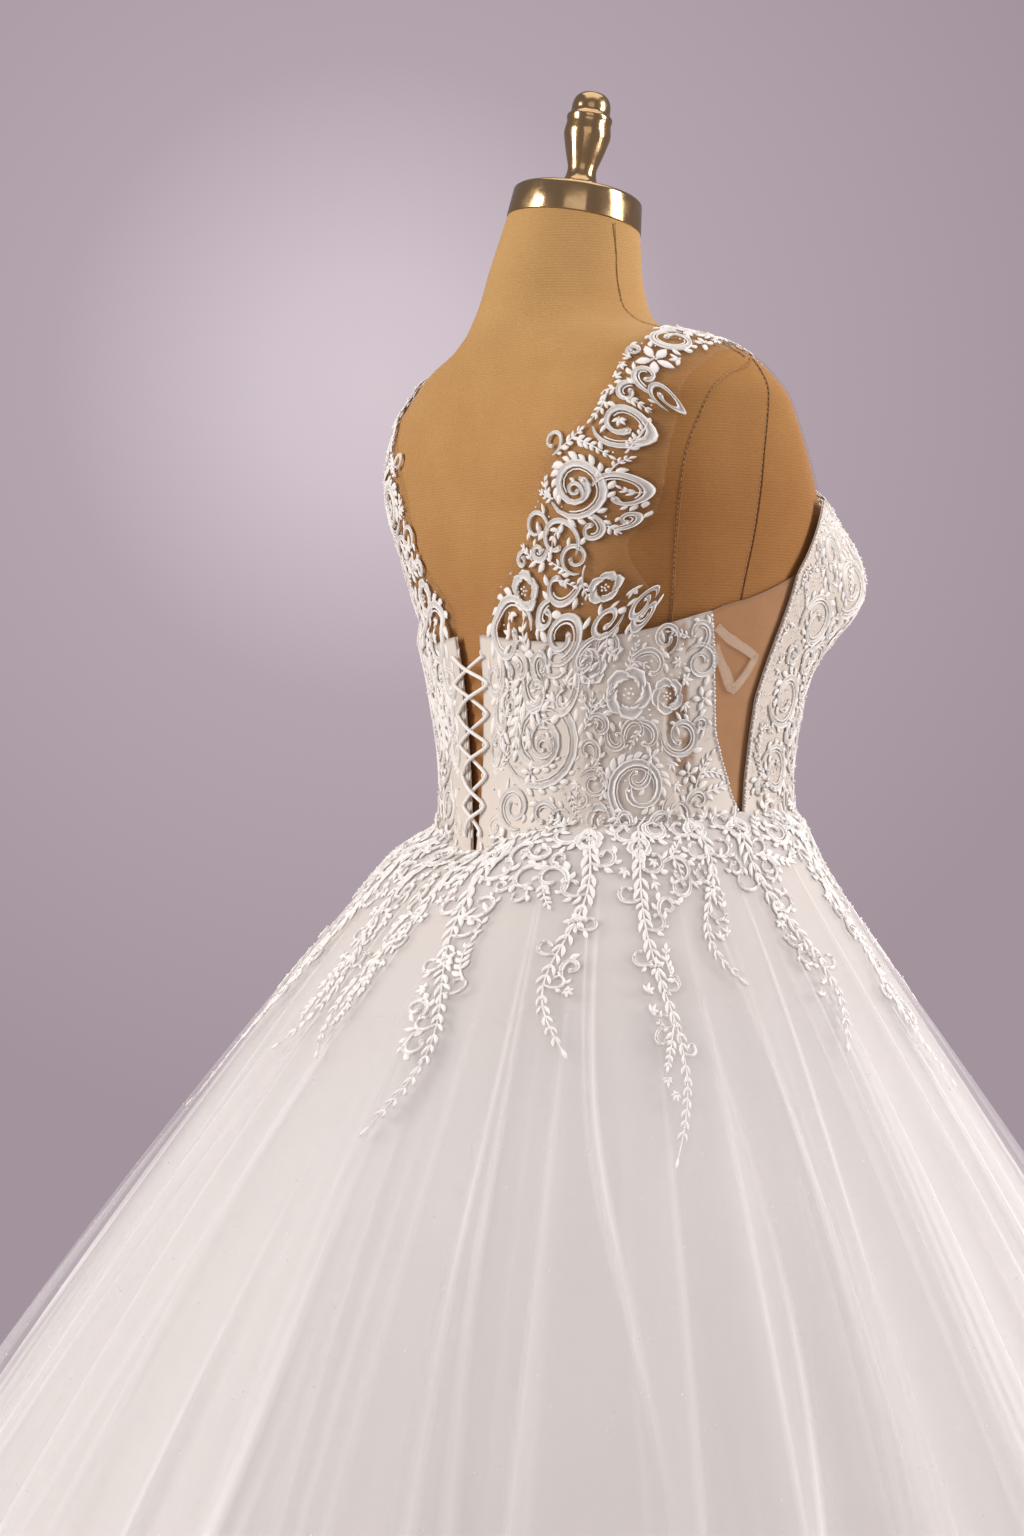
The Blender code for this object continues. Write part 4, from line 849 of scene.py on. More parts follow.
# The turned pieces' profiles, as radius and height in millimetres, from the axis out and back to it. The knob
# has a foot, a neck, a belly, a ring and a barrel; the base has a rim, a sloping top and the pole's collar.
CAP = ((0, 0), (54, 0), (51.4, 23.5), (49, 25.5), (0, 25.5))
KNOB = (
    (0, 0), (15, 0), (15, 9), (12.4, 13), (11.2, 21), (15.2, 34), (19, 49), (17.4, 59), (18.2, 61),
    (18.2, 64), (15.6, 66), (15.4, 74), (13.4, 79.5), (8.5, 83.5), (0, 83.5),
)
POLE = ((0, 60.3), (16, 60.3), (16, 799.7), (0, 799.7))
BASE = ((0, 0), (198, 0), (200, 2), (200, 8), (194, 12), (34, 22), (28, 30), (22, 58), (20, 60), (0, 60))
CAP_HEIGHT = 25.5 * MM
SEAT_GAP = 0.3 * MM  # between the cap and the knob, and the cap and the cover


def build_stand():
    """The cap, the knob, the pole and the base, as turned pieces with eased edges."""
    level = Matrix.Identity(4)
    cap, knob, pole, base = (np.array(profile) * MM for profile in (CAP, KNOB, POLE, BASE))
    made = turned("neck_cap", rounded(cap, 1.0 * MM), 96, neck_place(0), BRASS)
    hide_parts("form_cap")
    made = turned("neck_knob", rounded(knob, 3.2 * MM, 7), 64, neck_place(CAP_HEIGHT + SEAT_GAP), BRASS)
    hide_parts("form_finial")
    made = turned("pole", rounded(pole, 0.8 * MM), 64, level, STEEL)
    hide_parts("stand_pole")
    made = turned("round_base", rounded(base, 4 * MM, 6), 96, level, STEEL)
    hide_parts("stand_base")


# ---------------------------------------------------------------- the bodice's panels and nets
def lacing_edge(height):
    """Degrees past the centre back of a panel's edge beside the lacing."""
    return past_at(line(LACING_GAP, height), height)


# Boning channels across a back panel, as the part of its width where each starts and ends.
CHANNELS = ((-0.02, 0.11), (0.405, 0.475), (0.73, 0.80))
NET_WINDOW = (0.79, 0.90)  # where net shows in patches, as parts of the panel's width


def build_back_panel(name, side):
    """A back panel: degrees run from the lacing's edge to the side, heights from the seam to the top edge."""
    across, up = np.meshgrid(np.linspace(0, 1, 101), np.linspace(0, 1, 49))
    height = 1.07 + 0.16 * up
    for _ in range(12):
        past = lacing_edge(height) * (1 - across) + line(SIDE_BACK, height) * across
        height = (line(SEAM_HEIGHT, past) - SEAM_TUCK) * (1 - up) + line(BACK_TOP, past) * up
    raised = sum(between(across, low, high, 0.014) for low, high in CHANNELS)
    hollow = 0.35 * MM * np.sin(across * 31 + 2.2 * np.sin(up * 5 + side)) * np.sin(up * 7 + across * 9 + 1)
    outer = BODICE_OUT + CHANNEL_RAISE * raised + hollow * (1 - raised)
    turn = turn_of(past, side)
    inner, outer = (BODY.at(turn, height, lift) for lift in (BODICE_LIFT, outer))
    made = wall(f"satin_back_{name}", inner, outer, PANEL_SATIN)
    window = between(across, *NET_WINDOW, 0.02) * soft_step((up - 0.16) / 0.1)
    carry(made, "window", np.concatenate([window.ravel(), window.ravel()]))
    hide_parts(f"back_panel_{name}")


def build_front():
    """The front: degrees run from side edge to side edge, heights from the seam up to the deep neckline."""
    across, up = np.meshgrid(np.linspace(-1, 1, 121), np.linspace(0, 1, 61))
    height = 1.09 + 0.20 * up
    for _ in range(40):
        past = 180 - np.abs(across) * (180 - line(SIDE_FRONT, height))
        turn = turn_of(past, np.where(across < 0, -1, 1))
        top = line(FRONT_TOP, np.abs(form_chart(turn, height)[..., 0]))
        height = height * 0.5 + 0.5 * ((line(SEAM_HEIGHT, past) - SEAM_TUCK) * (1 - up) + top * up)
    turn = np.where(turn > 1.5 * math.pi, turn - 2 * math.pi, turn)
    lift = BODICE_LIFT + 1.6 * MM * up**4
    points = [form_lifted(turn, height, lift + extra) for extra in (0, BODICE_WALL)]
    made = wall("satin_front", *points, SATIN)
    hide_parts("bodice_front")


def build_side_net(name, side):
    """The see-through wedge under the arm, its edges tucked behind the back and front panels."""
    across, up = np.meshgrid(np.linspace(0, 1, 21), np.linspace(0, 1, 41))
    tuck = 1.6
    low, back_high, front_high = 1.092, 1.247, 1.279
    behind = line(SIDE_BACK, low + (back_high - low) * up) - tuck
    ahead = line(SIDE_FRONT, low + (front_high - low) * up) + tuck
    past = behind * (1 - across) + ahead * across
    height = low + up * ((back_high - low) * (1 - across) + (front_high - low) * across)
    turn = turn_of(past, side)
    inner, outer = (form_lifted(turn, height, NET_LIFT + extra) for extra in (0, NET_WALL))
    made = wall(f"illusion_side_{name}", inner, outer, SIDE_NET)
    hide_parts(f"side_net_{name}")


# The yoke's edges over the shoulder, against the part of the way: the length of cloth along and the distance
# across, in metres, of the edge towards the neck and then of the edge towards the arm.
YOKE = np.array([
    (0.00, -0.097, 0.023, -0.136, 0.158), (0.05, -0.077, 0.027, -0.106, 0.157),
    (0.10, -0.062, 0.046, -0.080, 0.156), (0.15, -0.044, 0.074, -0.062, 0.158),
    (0.20, -0.020, 0.089, -0.048, 0.173), (0.26, 0.002, 0.095, -0.022, 0.184),
    (0.32, 0.030, 0.113, 0.010, 0.190), (0.38, 0.055, 0.137, 0.045, 0.193),
    (0.44, 0.082, 0.149, 0.080, 0.195), (0.49, 0.112, 0.149, 0.112, 0.195),
    (0.54, 0.140, 0.142, 0.142, 0.194), (0.59, 0.170, 0.128, 0.170, 0.190),
    (0.65, 0.205, 0.113, 0.205, 0.184), (0.72, 0.245, 0.096, 0.245, 0.176),
    (0.79, 0.285, 0.079, 0.285, 0.171), (0.86, 0.325, 0.063, 0.325, 0.168),
    (0.93, 0.362, 0.055, 0.355, 0.166), (1.00, 0.420, 0.044, 0.392, 0.165),
])


def yoke_along(x, height, front):
    """The length of cloth along the yoke at which it comes down to a height, in front or behind."""
    length = np.linspace(0.19, 0.44, 126) if front else np.linspace(0.15, -0.15, 151)
    heights = YOKE_GROUND.at(x[..., None], length, 0.0)[..., 2]
    below = heights <= height[..., None]
    first = np.argmax(below, -1)
    return length[np.where(below.any(-1), first, length.size - 1)]


def yoke_points(part, across):
    """Places on the yoke, from the part of the way over the shoulder and the part across from neck to arm."""
    columns = [smooth_column(YOKE, column, part) for column in range(1, 5)]
    x = columns[1] * (1 - across) + columns[3] * across
    along = columns[0] * (1 - across) + columns[2] * across
    back_end = yoke_along(x, line(BACK_TOP, past_at(x, 1.235)) - SEAM_TUCK, front=False)
    front_end = yoke_along(x, line(FRONT_TOP, x) - SEAM_TUCK, front=True)
    near_back, near_front = np.clip(1 - part / 0.05, 0, 1), np.clip((part - 0.93) / 0.07, 0, 1)
    along = along * (1 - near_back) + back_end * near_back
    return x, along * (1 - near_front) + front_end * near_front


def build_yoke(name, side):
    """The see-through yoke over a shoulder, from the corset's top to the front's."""
    across, part = np.meshgrid(np.linspace(0, 1, 17), np.linspace(0, 1, 121))
    x, along = yoke_points(part, across)
    inner, outer = (YOKE_GROUND.at(side * x, along, NET_LIFT + extra) for extra in (0, NET_WALL))
    made = wall(f"illusion_yoke_{name}", inner, outer, NUDE_NET)
    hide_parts(f"yoke_net_{name}")


# ---------------------------------------------------------------- the skirts
# Each layer of skirt: its folds, its rows of points, and how it differs from the solids' overskirt.
OUTER = {"folds": Folds(seed=3, count=36, depth=16 * MM), "rows": 60, "shape": {}}
MIDDLE = {"folds": Folds(seed=5, count=32, depth=16 * MM), "rows": 50,
          "shape": {"stand": 6.0 * MM, "hem": 16 * MM, "fullness": 0.960, "fold": 0.85}}
INNER = {"folds": Folds(seed=9, count=24, depth=11 * MM), "rows": 44,
         "shape": {"stand": 5.2 * MM, "hem": 22 * MM, "fullness": 0.939, "fold": 0.6}}
UNDER = {"folds": Folds(seed=13, count=22, depth=5 * MM), "rows": 40,
         "shape": {"stand": 4.2 * MM, "hem": 30 * MM, "fullness": 0.925, "fold": 0.32}}


def build_skirt(name, layer, finish, nodes):
    """One layer of skirt: a tube of cloth from the waist seam to the hem, with its folds' density on it."""
    folds, rows = layer["folds"], layer["rows"]
    waist, part = np.meshgrid(folds.columns(), np.linspace(0, 1, rows) ** 1.3)
    raised, density = folds.relief(waist, part)
    points = skirt_chart(waist + folds.lean(waist, part), part * SKIRT_CLOTH, raised=raised, **layer["shape"])
    faces = grid_faces(rows, waist.shape[1], True)[:, ::-1]
    made = piece(name, points.reshape(-1, 3), faces, finish)
    carry(made, "gather", density.ravel())
    carry(made, "cloth", np.stack([waist, part, 0 * part], -1).reshape(-1, 3))
    if nodes:
        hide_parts(*nodes)


def build_skirts():
    """The three layers of tulle and the satin under them."""
    gores = [f"overskirt_gore_{number}" for number in range(1, 9)]
    panels = [f"underskirt_panel_{number}" for number in range(1, 7)]
    build_skirt("tulle_outer", OUTER, TULLE_OUTER, gores)
    build_skirt("tulle_middle", MIDDLE, TULLE_MIDDLE, ())
    build_skirt("tulle_inner", INNER, TULLE_INNER, ())
    build_skirt("satin_underskirt", UNDER, LINING, panels)


def outer_chart(phase, length):
    """The outermost tulle, folds and all."""
    part = length / SKIRT_CLOTH
    raised = OUTER["folds"].relief(OUTER["folds"].waist_of(phase, part), part)[0]
    return skirt_chart(phase, length, raised=raised, **OUTER["shape"])


class RoundGround(Ground):
    """A ground that goes all round: its first measure is taken within one turn."""

    def at(self, first, second, lift):
        return super().at(np.asarray(first, float) % (2 * math.pi), second, lift)


SKIRT_GROUND = RoundGround(outer_chart, np.linspace(0, 2 * math.pi, 1441), np.linspace(0.0, 0.44, 221),
                           np.array((0.0, 0.0, 0.9)))


# ---------------------------------------------------------------- lace
# How wide a stroke is along its length, as the part of the way and the part of its full width.
STEM = np.array([
    (0, 0.30), (0.08, 0.66), (0.30, 1.0), (0.60, 0.90), (0.84, 0.60), (0.93, 1.0), (0.98, 0.92), (1, 0.4),
])
LEAF = np.array([(0, 0.25), (0.22, 0.72), (0.48, 1.0), (0.76, 0.70), (1, 0.08)])
PETAL = np.array([(0, 0.40), (0.2, 0.80), (0.36, 0.92), (0.5, 1.0), (0.64, 0.90), (0.8, 0.82), (1, 0.38)])
STEM_RINGS, PETAL_RINGS, LEAF_RINGS = 26, 8, 5
ROSE_PETALS = 5
# A stroke's section, across it from edge to edge and up: a band has a raised cord near each edge, and a
# single cord is one low ridge.
BAND = np.array([(-1.0, 0.05), (-0.76, 1.0), (-0.36, 0.20), (0.36, 0.20), (0.76, 1.0), (1.0, 0.05)])
SINGLE = np.array([(-1.0, 0.05), (-0.48, 1.0), (0.48, 1.0), (1.0, 0.05)])


def curl(place, heading, length, bend, steps=STEM_RINGS, tighten=1.7):
    """A path that bends more towards its end: its heading grows by the bend times a power of the way."""
    part = np.linspace(0, 1, steps)
    angle = np.radians(heading + bend * part**tighten)
    middle = (angle[1:] + angle[:-1]) / 2
    path = np.cumsum(np.stack([np.cos(middle), np.sin(middle)], 1) * length / (steps - 1), 0)
    return np.concatenate([[(0, 0)], path]) + place


def volute(centre, radius, start, turns, hand, tail=0.2):
    """A spiral by its centre: the radius falls as a power of the way, and a tail before it swings wider."""
    part = np.linspace(-tail, 1, STEM_RINGS + 6)
    reach = radius * (0.30 + 0.70 * np.clip(1 - part, 0, None) ** 0.95)
    angle = np.radians(start) + hand * 2 * math.pi * turns * part
    path = np.array(centre) + reach[:, None] * np.stack([np.cos(angle), np.sin(angle)], 1)
    return resampled(path, STEM_RINGS, 0.35)


def resampled(path, count, even=1.0):
    """The path with a count of points, evenly apart, or partly as it was where even is under 1."""
    along = lengths_along(path)
    part = np.linspace(0, 1, count)
    as_was = np.interp(part, np.linspace(0, 1, len(path)), along)
    at = even * part * along[-1] + (1 - even) * as_was
    return read_at(path, along, at)


def heading_of(degrees):
    """One millimetre along a heading."""
    return np.array((math.cos(math.radians(degrees)), math.sin(math.radians(degrees))))


def headings(path):
    """The heading in degrees at each point of a path."""
    step = np.gradient(path, axis=0)
    return np.degrees(np.unwrap(np.arctan2(step[:, 1], step[:, 0])))


def sideways(path):
    """One millimetre to the left at each point of a path."""
    along = unit(np.gradient(path, axis=0))
    return np.stack([-along[:, 1], along[:, 0]], 1)


class Lace:
    """Strokes of embroidery in flat millimetres, with a map of cells that says where cloth is still bare."""

    def __init__(self, low, high, allowed, seed, cell=1.0):
        self.low, self.cell = np.array(low, float), cell
        size = np.ceil((np.array(high) - self.low) / cell).astype(int)
        x, y = np.meshgrid(*(self.low[k] + (np.arange(size[k]) + 0.5) * cell for k in (0, 1)), indexing="ij")
        self.bare = allowed(x, y)
        self.inside = self.bare.copy()
        self.strokes, self.stems, self.beads = [], [], []
        self.rng = np.random.default_rng(seed)

    def cells(self, path, width):
        """The cells under a stroke, as rows of two numbers."""
        length = length_of(path)
        count = max(3, int(length / self.cell * 1.3))
        fine = resampled(path, count)
        wide = np.interp(np.linspace(0, 1, count), np.linspace(0, 1, len(width)), width)
        across = np.linspace(-0.5, 0.5, max(2, int(width.max() / self.cell * 1.3) + 1))
        points = fine[:, None] + sideways(fine)[:, None] * (wide[:, None] * across)[..., None]
        return self.cells_at(points.reshape(-1, 2))

    def cells_at(self, points):
        """The cells that points lie in."""
        return np.floor((points - self.low) / self.cell).astype(int)

    def bare_share(self, found):
        """The part of some cells that is still bare."""
        return self.share(self.bare, found)

    def share(self, cells, found):
        """The part of some cells that a map marks."""
        inside = ((found >= 0) & (found < cells.shape)).all(1)
        return cells[found[inside, 0], found[inside, 1]].sum() / len(found)

    def take(self, found):
        """Marks cells as covered."""
        inside = ((found >= 0) & (found < self.bare.shape)).all(1)
        self.bare[found[inside, 0], found[inside, 1]] = False

    def draw(self, path, width, height=1.0, lift=0.0, section=BAND):
        """Adds a stroke, and covers the cells under it and just beside it."""
        self.strokes.append((path, width, height, lift, section))
        self.take(self.cells(path, width + 0.8))

    def leaf(self, place, heading, length, width, bend=0.0, enough=0.7, height=0.9, lift=0.0):
        """A leaf: a short wide stroke that bends a little; it is left out where there is no room for it."""
        path = curl(place, heading, length, bend, LEAF_RINGS, 1.0)
        wide = width * line(LEAF, np.linspace(0, 1, LEAF_RINGS))
        here = self.cells(path[1:], wide[1:] + 0.5)
        if enough >= 0 and (self.share(self.inside, here) < 0.6 or self.bare_share(here) < enough):
            return
        self.draw(path, wide, height, lift, SINGLE)

    def stem(self, path, width, lobes=1.0, sure=True):
        """A corded band along a path: a fine cord inside its bend, and pointed lobes along its outer side."""
        part = np.linspace(0, 1, len(path))
        wide = width * line(STEM, part)
        skip = len(path) // 4
        if not sure and self.bare_share(self.cells(path[skip:], wide[skip:] + 1.4)) < 0.90:
            return False
        turn = headings(path)
        hand = 1 if turn[-1] > turn[0] else -1
        left = sideways(path)
        self.draw(path, wide, 0.9 + 0.07 * width, 0.0, BAND if width > 2.7 else SINGLE)
        self.stems.append((path, turn, wide))
        self.beads.append((*path[-2], 0.75 + 0.08 * width))
        if width > 4.6:
            inner = path + left * hand * (wide[:, None] * 0.5 + 1.5)
            self.draw(resampled(inner[2 : int(len(path) * 0.72)], 16), np.full(16, 1.3), 0.8, 0.0, SINGLE)
        length = length_of(path)
        for at in np.arange(0.08, 0.80, (3.6 + 0.50 * width) / length / max(lobes, 0.05)):
            spot, out = read_at(path, part, at), read_at(left, part, at)
            edge, heading = np.interp(at, part, wide), np.interp(at, part, turn)
            reach = (3.4 + 1.05 * edge) * self.rng.uniform(0.75, 1.25)
            root = spot - out * hand * edge * 0.36
            heading = heading - hand * self.rng.uniform(34, 58)
            self.leaf(root, heading, reach, 0.58 * reach, hand * 34, enough=0.60)
        return True

    def fern(self, path, size, sure=False, gap=0.66, spread=48):
        """A leafy spray: a fine stem, pairs of leaflets that grow smaller along it, and one at its tip."""
        part = np.linspace(0, 1, len(path))
        wide = (0.9 + 0.10 * size) * (1 - 0.45 * part)
        if not sure and self.bare_share(self.cells(path[3:], wide[3:] + size * 0.9)) < 0.82:
            return False
        while self.share(self.inside, self.cells(path[-3:], wide[-3:] + 1.0)) < 0.7:
            path, wide, part = path[:-1], wide[:-1], part[:-1] / part[-2]
            if len(path) < 5:
                return False
        even = np.linspace(0, 1, 10)
        path, wide, part = resampled(path, 10), np.interp(even, part, wide), even
        turn = headings(path)
        self.draw(path, wide, 0.9, 0.0, SINGLE)
        self.stems.append((path, turn, wide))
        length = length_of(path)
        for at in np.arange(0.14, 0.97, size * gap / length):
            spot = read_at(path, part, at)
            reach = size * (1 - 0.42 * at)
            for hand in (1, -1):
                lean = np.interp(at, part, turn) + hand * self.rng.uniform(0.8, 1.2) * spread
                self.leaf(spot, lean, reach * self.rng.uniform(0.85, 1.1), reach * 0.50, -hand * 22,
                          0 if sure else 0.40)
        self.leaf(path[-1], turn[-1], size * 0.7, size * 0.36, enough=0)
        return True

    def vine(self, path, size):
        """A hanging spray: a waving stem, long leaves that hug it, and small scrolls to either side."""
        part, turn = np.linspace(0, 1, len(path)), headings(path)
        self.draw(path, 2.0 * (1 - 0.5 * part), 0.8, 0.0, SINGLE)
        self.stems.append((path, turn, 2.0 * (1 - 0.5 * part)))
        length = length_of(path)
        for number, at in enumerate(np.arange(0.04, 0.96, size * 0.70 / length)):
            spot = read_at(path, part, at)
            lean, reach, hand = np.interp(at, part, turn), size * (1 - 0.50 * at), (-1) ** number
            if number % 3 == 1 and at < 0.75:
                bend = hand * self.rng.uniform(220, 330)
                self.stem(curl(spot, lean + hand * 60, 3.4 * reach, bend), 0.30 * reach, 0.7, sure=True)
            else:
                self.leaf(spot, lean + hand * self.rng.uniform(34, 56), 1.25 * reach, 0.36 * reach,
                          -hand * 40, -1)
            self.leaf(spot, lean - hand * self.rng.uniform(30, 58), 1.1 * reach, 0.34 * reach, hand * 40, -1)
        self.leaf(path[-1], turn[-1], size * 0.7, size * 0.26, enough=-1)

    def rose(self, place, radius, turn=None):
        """A ruffled rose: wide petals bent round it in a ring, and beads in its open middle."""
        place = np.array(place, float)
        turn = self.rng.uniform(0, 72) if turn is None else turn
        disc = np.array([(f * math.cos(a), f * math.sin(a))
                         for f in np.linspace(0, 1.02, 12) for a in np.linspace(0, 2 * math.pi, 60)])
        self.take(self.cells_at(place + radius * disc))
        for petal in range(ROSE_PETALS):
            swing = np.radians(turn + (petal + np.linspace(-0.62, 0.62, PETAL_RINGS)) * 360 / ROSE_PETALS)
            out = radius * (0.66 + 0.13 * np.sin(np.linspace(0, math.pi, PETAL_RINGS))
                            + 0.09 * np.linspace(-1, 1, PETAL_RINGS))
            path = place + out[:, None] * np.stack([np.cos(swing), np.sin(swing)], 1)
            ruffle = 1 + 0.16 * np.sin(np.arange(PETAL_RINGS) * 2.6 + petal)
            wide = radius * 0.56 * line(PETAL, np.linspace(0, 1, PETAL_RINGS)) * ruffle
            self.strokes.append((path, wide, 1.0 + 0.02 * radius, 0.12 * (petal % 2), BAND))
        for number in range(6):
            spin, reach = math.radians(turn + 72 * number), 0.20 * radius * (number > 0)
            self.beads.append((place[0] + reach * math.cos(spin), place[1] + reach * math.sin(spin), 1.05))

    def flower(self, place, radius):
        """An open flower: plump petals round a cluster of beads."""
        place, turn = np.array(place, float), self.rng.uniform(0, 72)
        for petal in range(ROSE_PETALS):
            heading = turn + petal * 360 / ROSE_PETALS
            foot = place + 0.16 * radius * heading_of(heading)
            self.leaf(foot, heading, 0.86 * radius, 0.52 * radius, self.rng.uniform(-20, 20), 0)
        for offset in ((0, 0), (1.6, 0.6), (-1.2, 1.2), (-0.4, -1.7)):
            self.beads.append((*(place + offset), 1.0))

    def grow(self, rows):
        """Sprouts from what is drawn. Rows: tries, scroll or fern, length, and width or leaflet size."""
        for tries, kind, length, size in rows:
            for _ in range(tries):
                path, turn, _ = self.stems[self.rng.integers(len(self.stems))]
                at = self.rng.integers(3, len(path) - 2)
                hand = self.rng.choice((-1, 1))
                heading = turn[at] + hand * self.rng.uniform(20, 68)
                reach = length * self.rng.uniform(0.75, 1.25)
                if kind == "scroll":
                    bend = hand * self.rng.choice((1, 1, -1)) * self.rng.uniform(230, 400)
                    self.stem(curl(path[at], heading, reach, bend), size, 0.8, sure=False)
                else:
                    bend = hand * self.rng.uniform(-60, 90)
                    self.fern(curl(path[at], heading, reach, bend, 10, 1.0), size)

    def fringe(self, length, spacing=3.6, enough=0.86):
        """Leaves on both sides of every stem, wherever the cloth beside it is still bare."""
        for path, turn, wide in list(self.stems):
            whole = length_of(path)
            for at in np.arange(0.1, 0.9, spacing / whole):
                place, rows = at * (len(path) - 1), np.arange(len(path))
                spot = read_at(path, rows, place)
                for hand in (1, -1):
                    reach = length * self.rng.uniform(0.7, 1.2) + 0.5 * wide[int(place)]
                    lean = np.interp(place, rows, turn) + hand * self.rng.uniform(42, 75)
                    self.leaf(spot, lean, reach, 0.46 * length, -hand * self.rng.uniform(0, 50), enough)

    def scatter(self, tries, radius, make, enough=0.96):
        """Puts a motif wherever a disc of a radius is still bare, at random places."""
        spots = np.argwhere(self.bare)
        ring = np.array([(radius * f * math.cos(a), radius * f * math.sin(a))
                         for f in (0.35, 0.7, 1.0) for a in np.linspace(0, 2 * math.pi, 12, endpoint=False)])
        for spot in spots[self.rng.permutation(len(spots))[:tries]]:
            place = self.low + (spot + 0.5) * self.cell
            if self.bare_share(self.cells_at(place + ring)) > enough:
                make(place)

    def palmette(self, place):
        """A fan of plump leaves from one point, the middle one longest, and a bead at its foot."""
        turn, size = self.rng.uniform(0, 360), self.rng.uniform(7.0, 9.0)
        foot = place - 0.45 * size * heading_of(turn)
        for spread, share in ((0, 1.0), (-38, 0.86), (38, 0.86), (-76, 0.62), (76, 0.62)):
            self.leaf(foot, turn + spread, size * share, size * 0.40, spread * 0.4, enough=0.42)
        self.beads.append((*foot, 0.9))

    def leaf_fan(self, place):
        """Three leaves that spread from one point."""
        turn = self.rng.uniform(0, 360)
        for spread in (-55, 0, 55):
            self.leaf(place, turn + spread, self.rng.uniform(4.0, 6.0), 2.4, spread * 0.3, enough=0.5,
                      height=0.8)

    def bead(self, place):
        """Adds a small bead and covers the nine cells round it."""
        self.beads.append((*place, self.rng.uniform(0.6, 1.0)))
        self.take(self.cells_at(place + np.array([(a, b) for a in (-1, 0, 1) for b in (-1, 0, 1)])))


def embroider(name, strokes, surface, finish):
    """The strokes as one mesh: each is its section carried along its path, closed below and at its ends."""
    points, faces, rises, count = [], [], [], 0
    for rings, section in sorted({(len(stroke[0]), len(stroke[4])) for stroke in strokes}):
        same = [stroke for stroke in strokes if (len(stroke[0]), len(stroke[4])) == (rings, section)]
        path, width = (np.array([stroke[k] for stroke in same]) for k in (0, 1))
        height, lift = (np.array([stroke[k] for stroke in same])[:, None, None] for k in (2, 3))
        across, up = same[0][4].T
        along = unit(np.gradient(path, axis=1))
        off = np.stack([-along[..., 1], along[..., 0]], -1)
        flat = path[:, :, None] + off[:, :, None] * (width[..., None] / 2 * across)[..., None]
        part = np.arange(rings)
        end = np.minimum(1, 0.4 + 0.6 * np.minimum(part, rings - 1 - part))[None, :, None]
        rise = up * end + 0 * height
        body = surface(flat[..., 0], flat[..., 1], (lift + height * rise) * MM)
        starts = count + np.arange(len(same))[:, None] * rings * section
        first = starts[..., None] + np.arange(rings - 1)[None, :, None] * section
        here = np.arange(section)
        after = (here + 1) % section
        above = first + section
        sides = np.stack([first + here, first + after, above + after, above + here], -1)
        ends = starts + (rings - 1) * section
        caps = [(a, a + 1, section - 2 - a, section - 1 - a) for a in range(section // 2 - 1)]
        points.append(body.reshape(-1, 3))
        rises.append(np.broadcast_to(rise, body.shape[:-1]).reshape(-1))
        faces.append(sides.reshape(-1, 4))
        faces.extend(starts + np.array(corners[::-1]) for corners in caps)
        faces.extend(ends + np.array(corners) for corners in caps)
        count += len(same) * rings * section
    made = piece(name, np.concatenate(points), np.concatenate(faces), finish, sharp=70)
    carry(made, "rise", np.concatenate(rises))
    return outwards(made)


def finish_lace(kind, name, lace, surface, thread=THREAD):
    """The lace piece, which stands for its solid, and the beads on it."""
    made = embroider(f"{kind}_{name}_thread", lace.strokes, surface, thread)
    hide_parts(f"{kind}_{name}")
    x, y, radius = np.array(lace.beads).T
    made = beads(f"{kind}_{name}_beads", surface(x, y, (radius * 0.5 + 0.8) * MM), radius * MM, PEARL)


GOLDEN = (1 + math.sqrt(5)) / 2
BALL = unit(np.array([(0, s, t * GOLDEN) for s in (1, -1) for t in (1, -1)]
                     + [(s, t * GOLDEN, 0) for s in (1, -1) for t in (1, -1)]
                     + [(t * GOLDEN, 0, s) for s in (1, -1) for t in (1, -1)], float))


def ball_faces():
    """The ball's twenty triangles: each three of its points that lie one edge apart, turned to face out."""
    reach = np.linalg.norm(BALL[:, None] - BALL[None], axis=2)
    edge = reach[reach > 0.1].min() * 1.05
    found = []
    for a in range(12):
        for b in range(a + 1, 12):
            for c in range(b + 1, 12):
                if max(reach[a, b], reach[b, c], reach[a, c]) < edge:
                    out = np.dot(np.cross(BALL[b] - BALL[a], BALL[c] - BALL[a]), BALL[a]) > 0
                    found.append((a, b, c) if out else (a, c, b))
    return np.array(found)


BALL_FACES = ball_faces()
FLECK = np.array([(1, 0, 0), (0, 1, 0), (-1, 0, 0), (0, -1, 0), (0, 0, 1), (0, 0, -1)], float)
FLECK_FACES = np.array([
    (0, 1, 4), (1, 2, 4), (2, 3, 4), (3, 0, 4), (1, 0, 5), (2, 1, 5), (3, 2, 5), (0, 3, 5),
])


def beads(name, centres, radii, finish, shape=BALL, shape_faces=BALL_FACES):
    """Small beads at their places, as one mesh."""
    centres, radii = np.asarray(centres, float), np.asarray(radii, float)
    points = centres[:, None] + shape[None] * radii[:, None, None]
    faces = shape_faces[None] + np.arange(len(centres))[:, None, None] * len(shape)
    return piece(name, points.reshape(-1, 3), faces.reshape(-1, 3), finish, smooth=shape is BALL)


# Over a shoulder, in millimetres: the lace's edges towards the neck and towards the arm, against the length
# of cloth along, from the corset's top behind, over the shoulder and down to the front's top.
STRAP_NECK = np.array((
    (-114, 20), (-97, 22), (-77, 27), (-62, 46), (-44, 72), (2, 101), (30, 122), (55, 143), (80, 150),
    (110, 149), (140, 142), (168, 128), (205, 113), (245, 96), (285, 79), (325, 64), (362, 56), (410, 46),
), float)
STRAP_ARM = np.array((
    (-150, 166), (-112, 156), (-95, 140), (-80, 124), (-66, 114), (-54, 111), (-48, 174), (-20, 182),
    (10, 177), (40, 183), (80, 185), (150, 188), (180, 184), (205, 172), (245, 156), (285, 142),
    (325, 130), (362, 124), (410, 120),
), float)
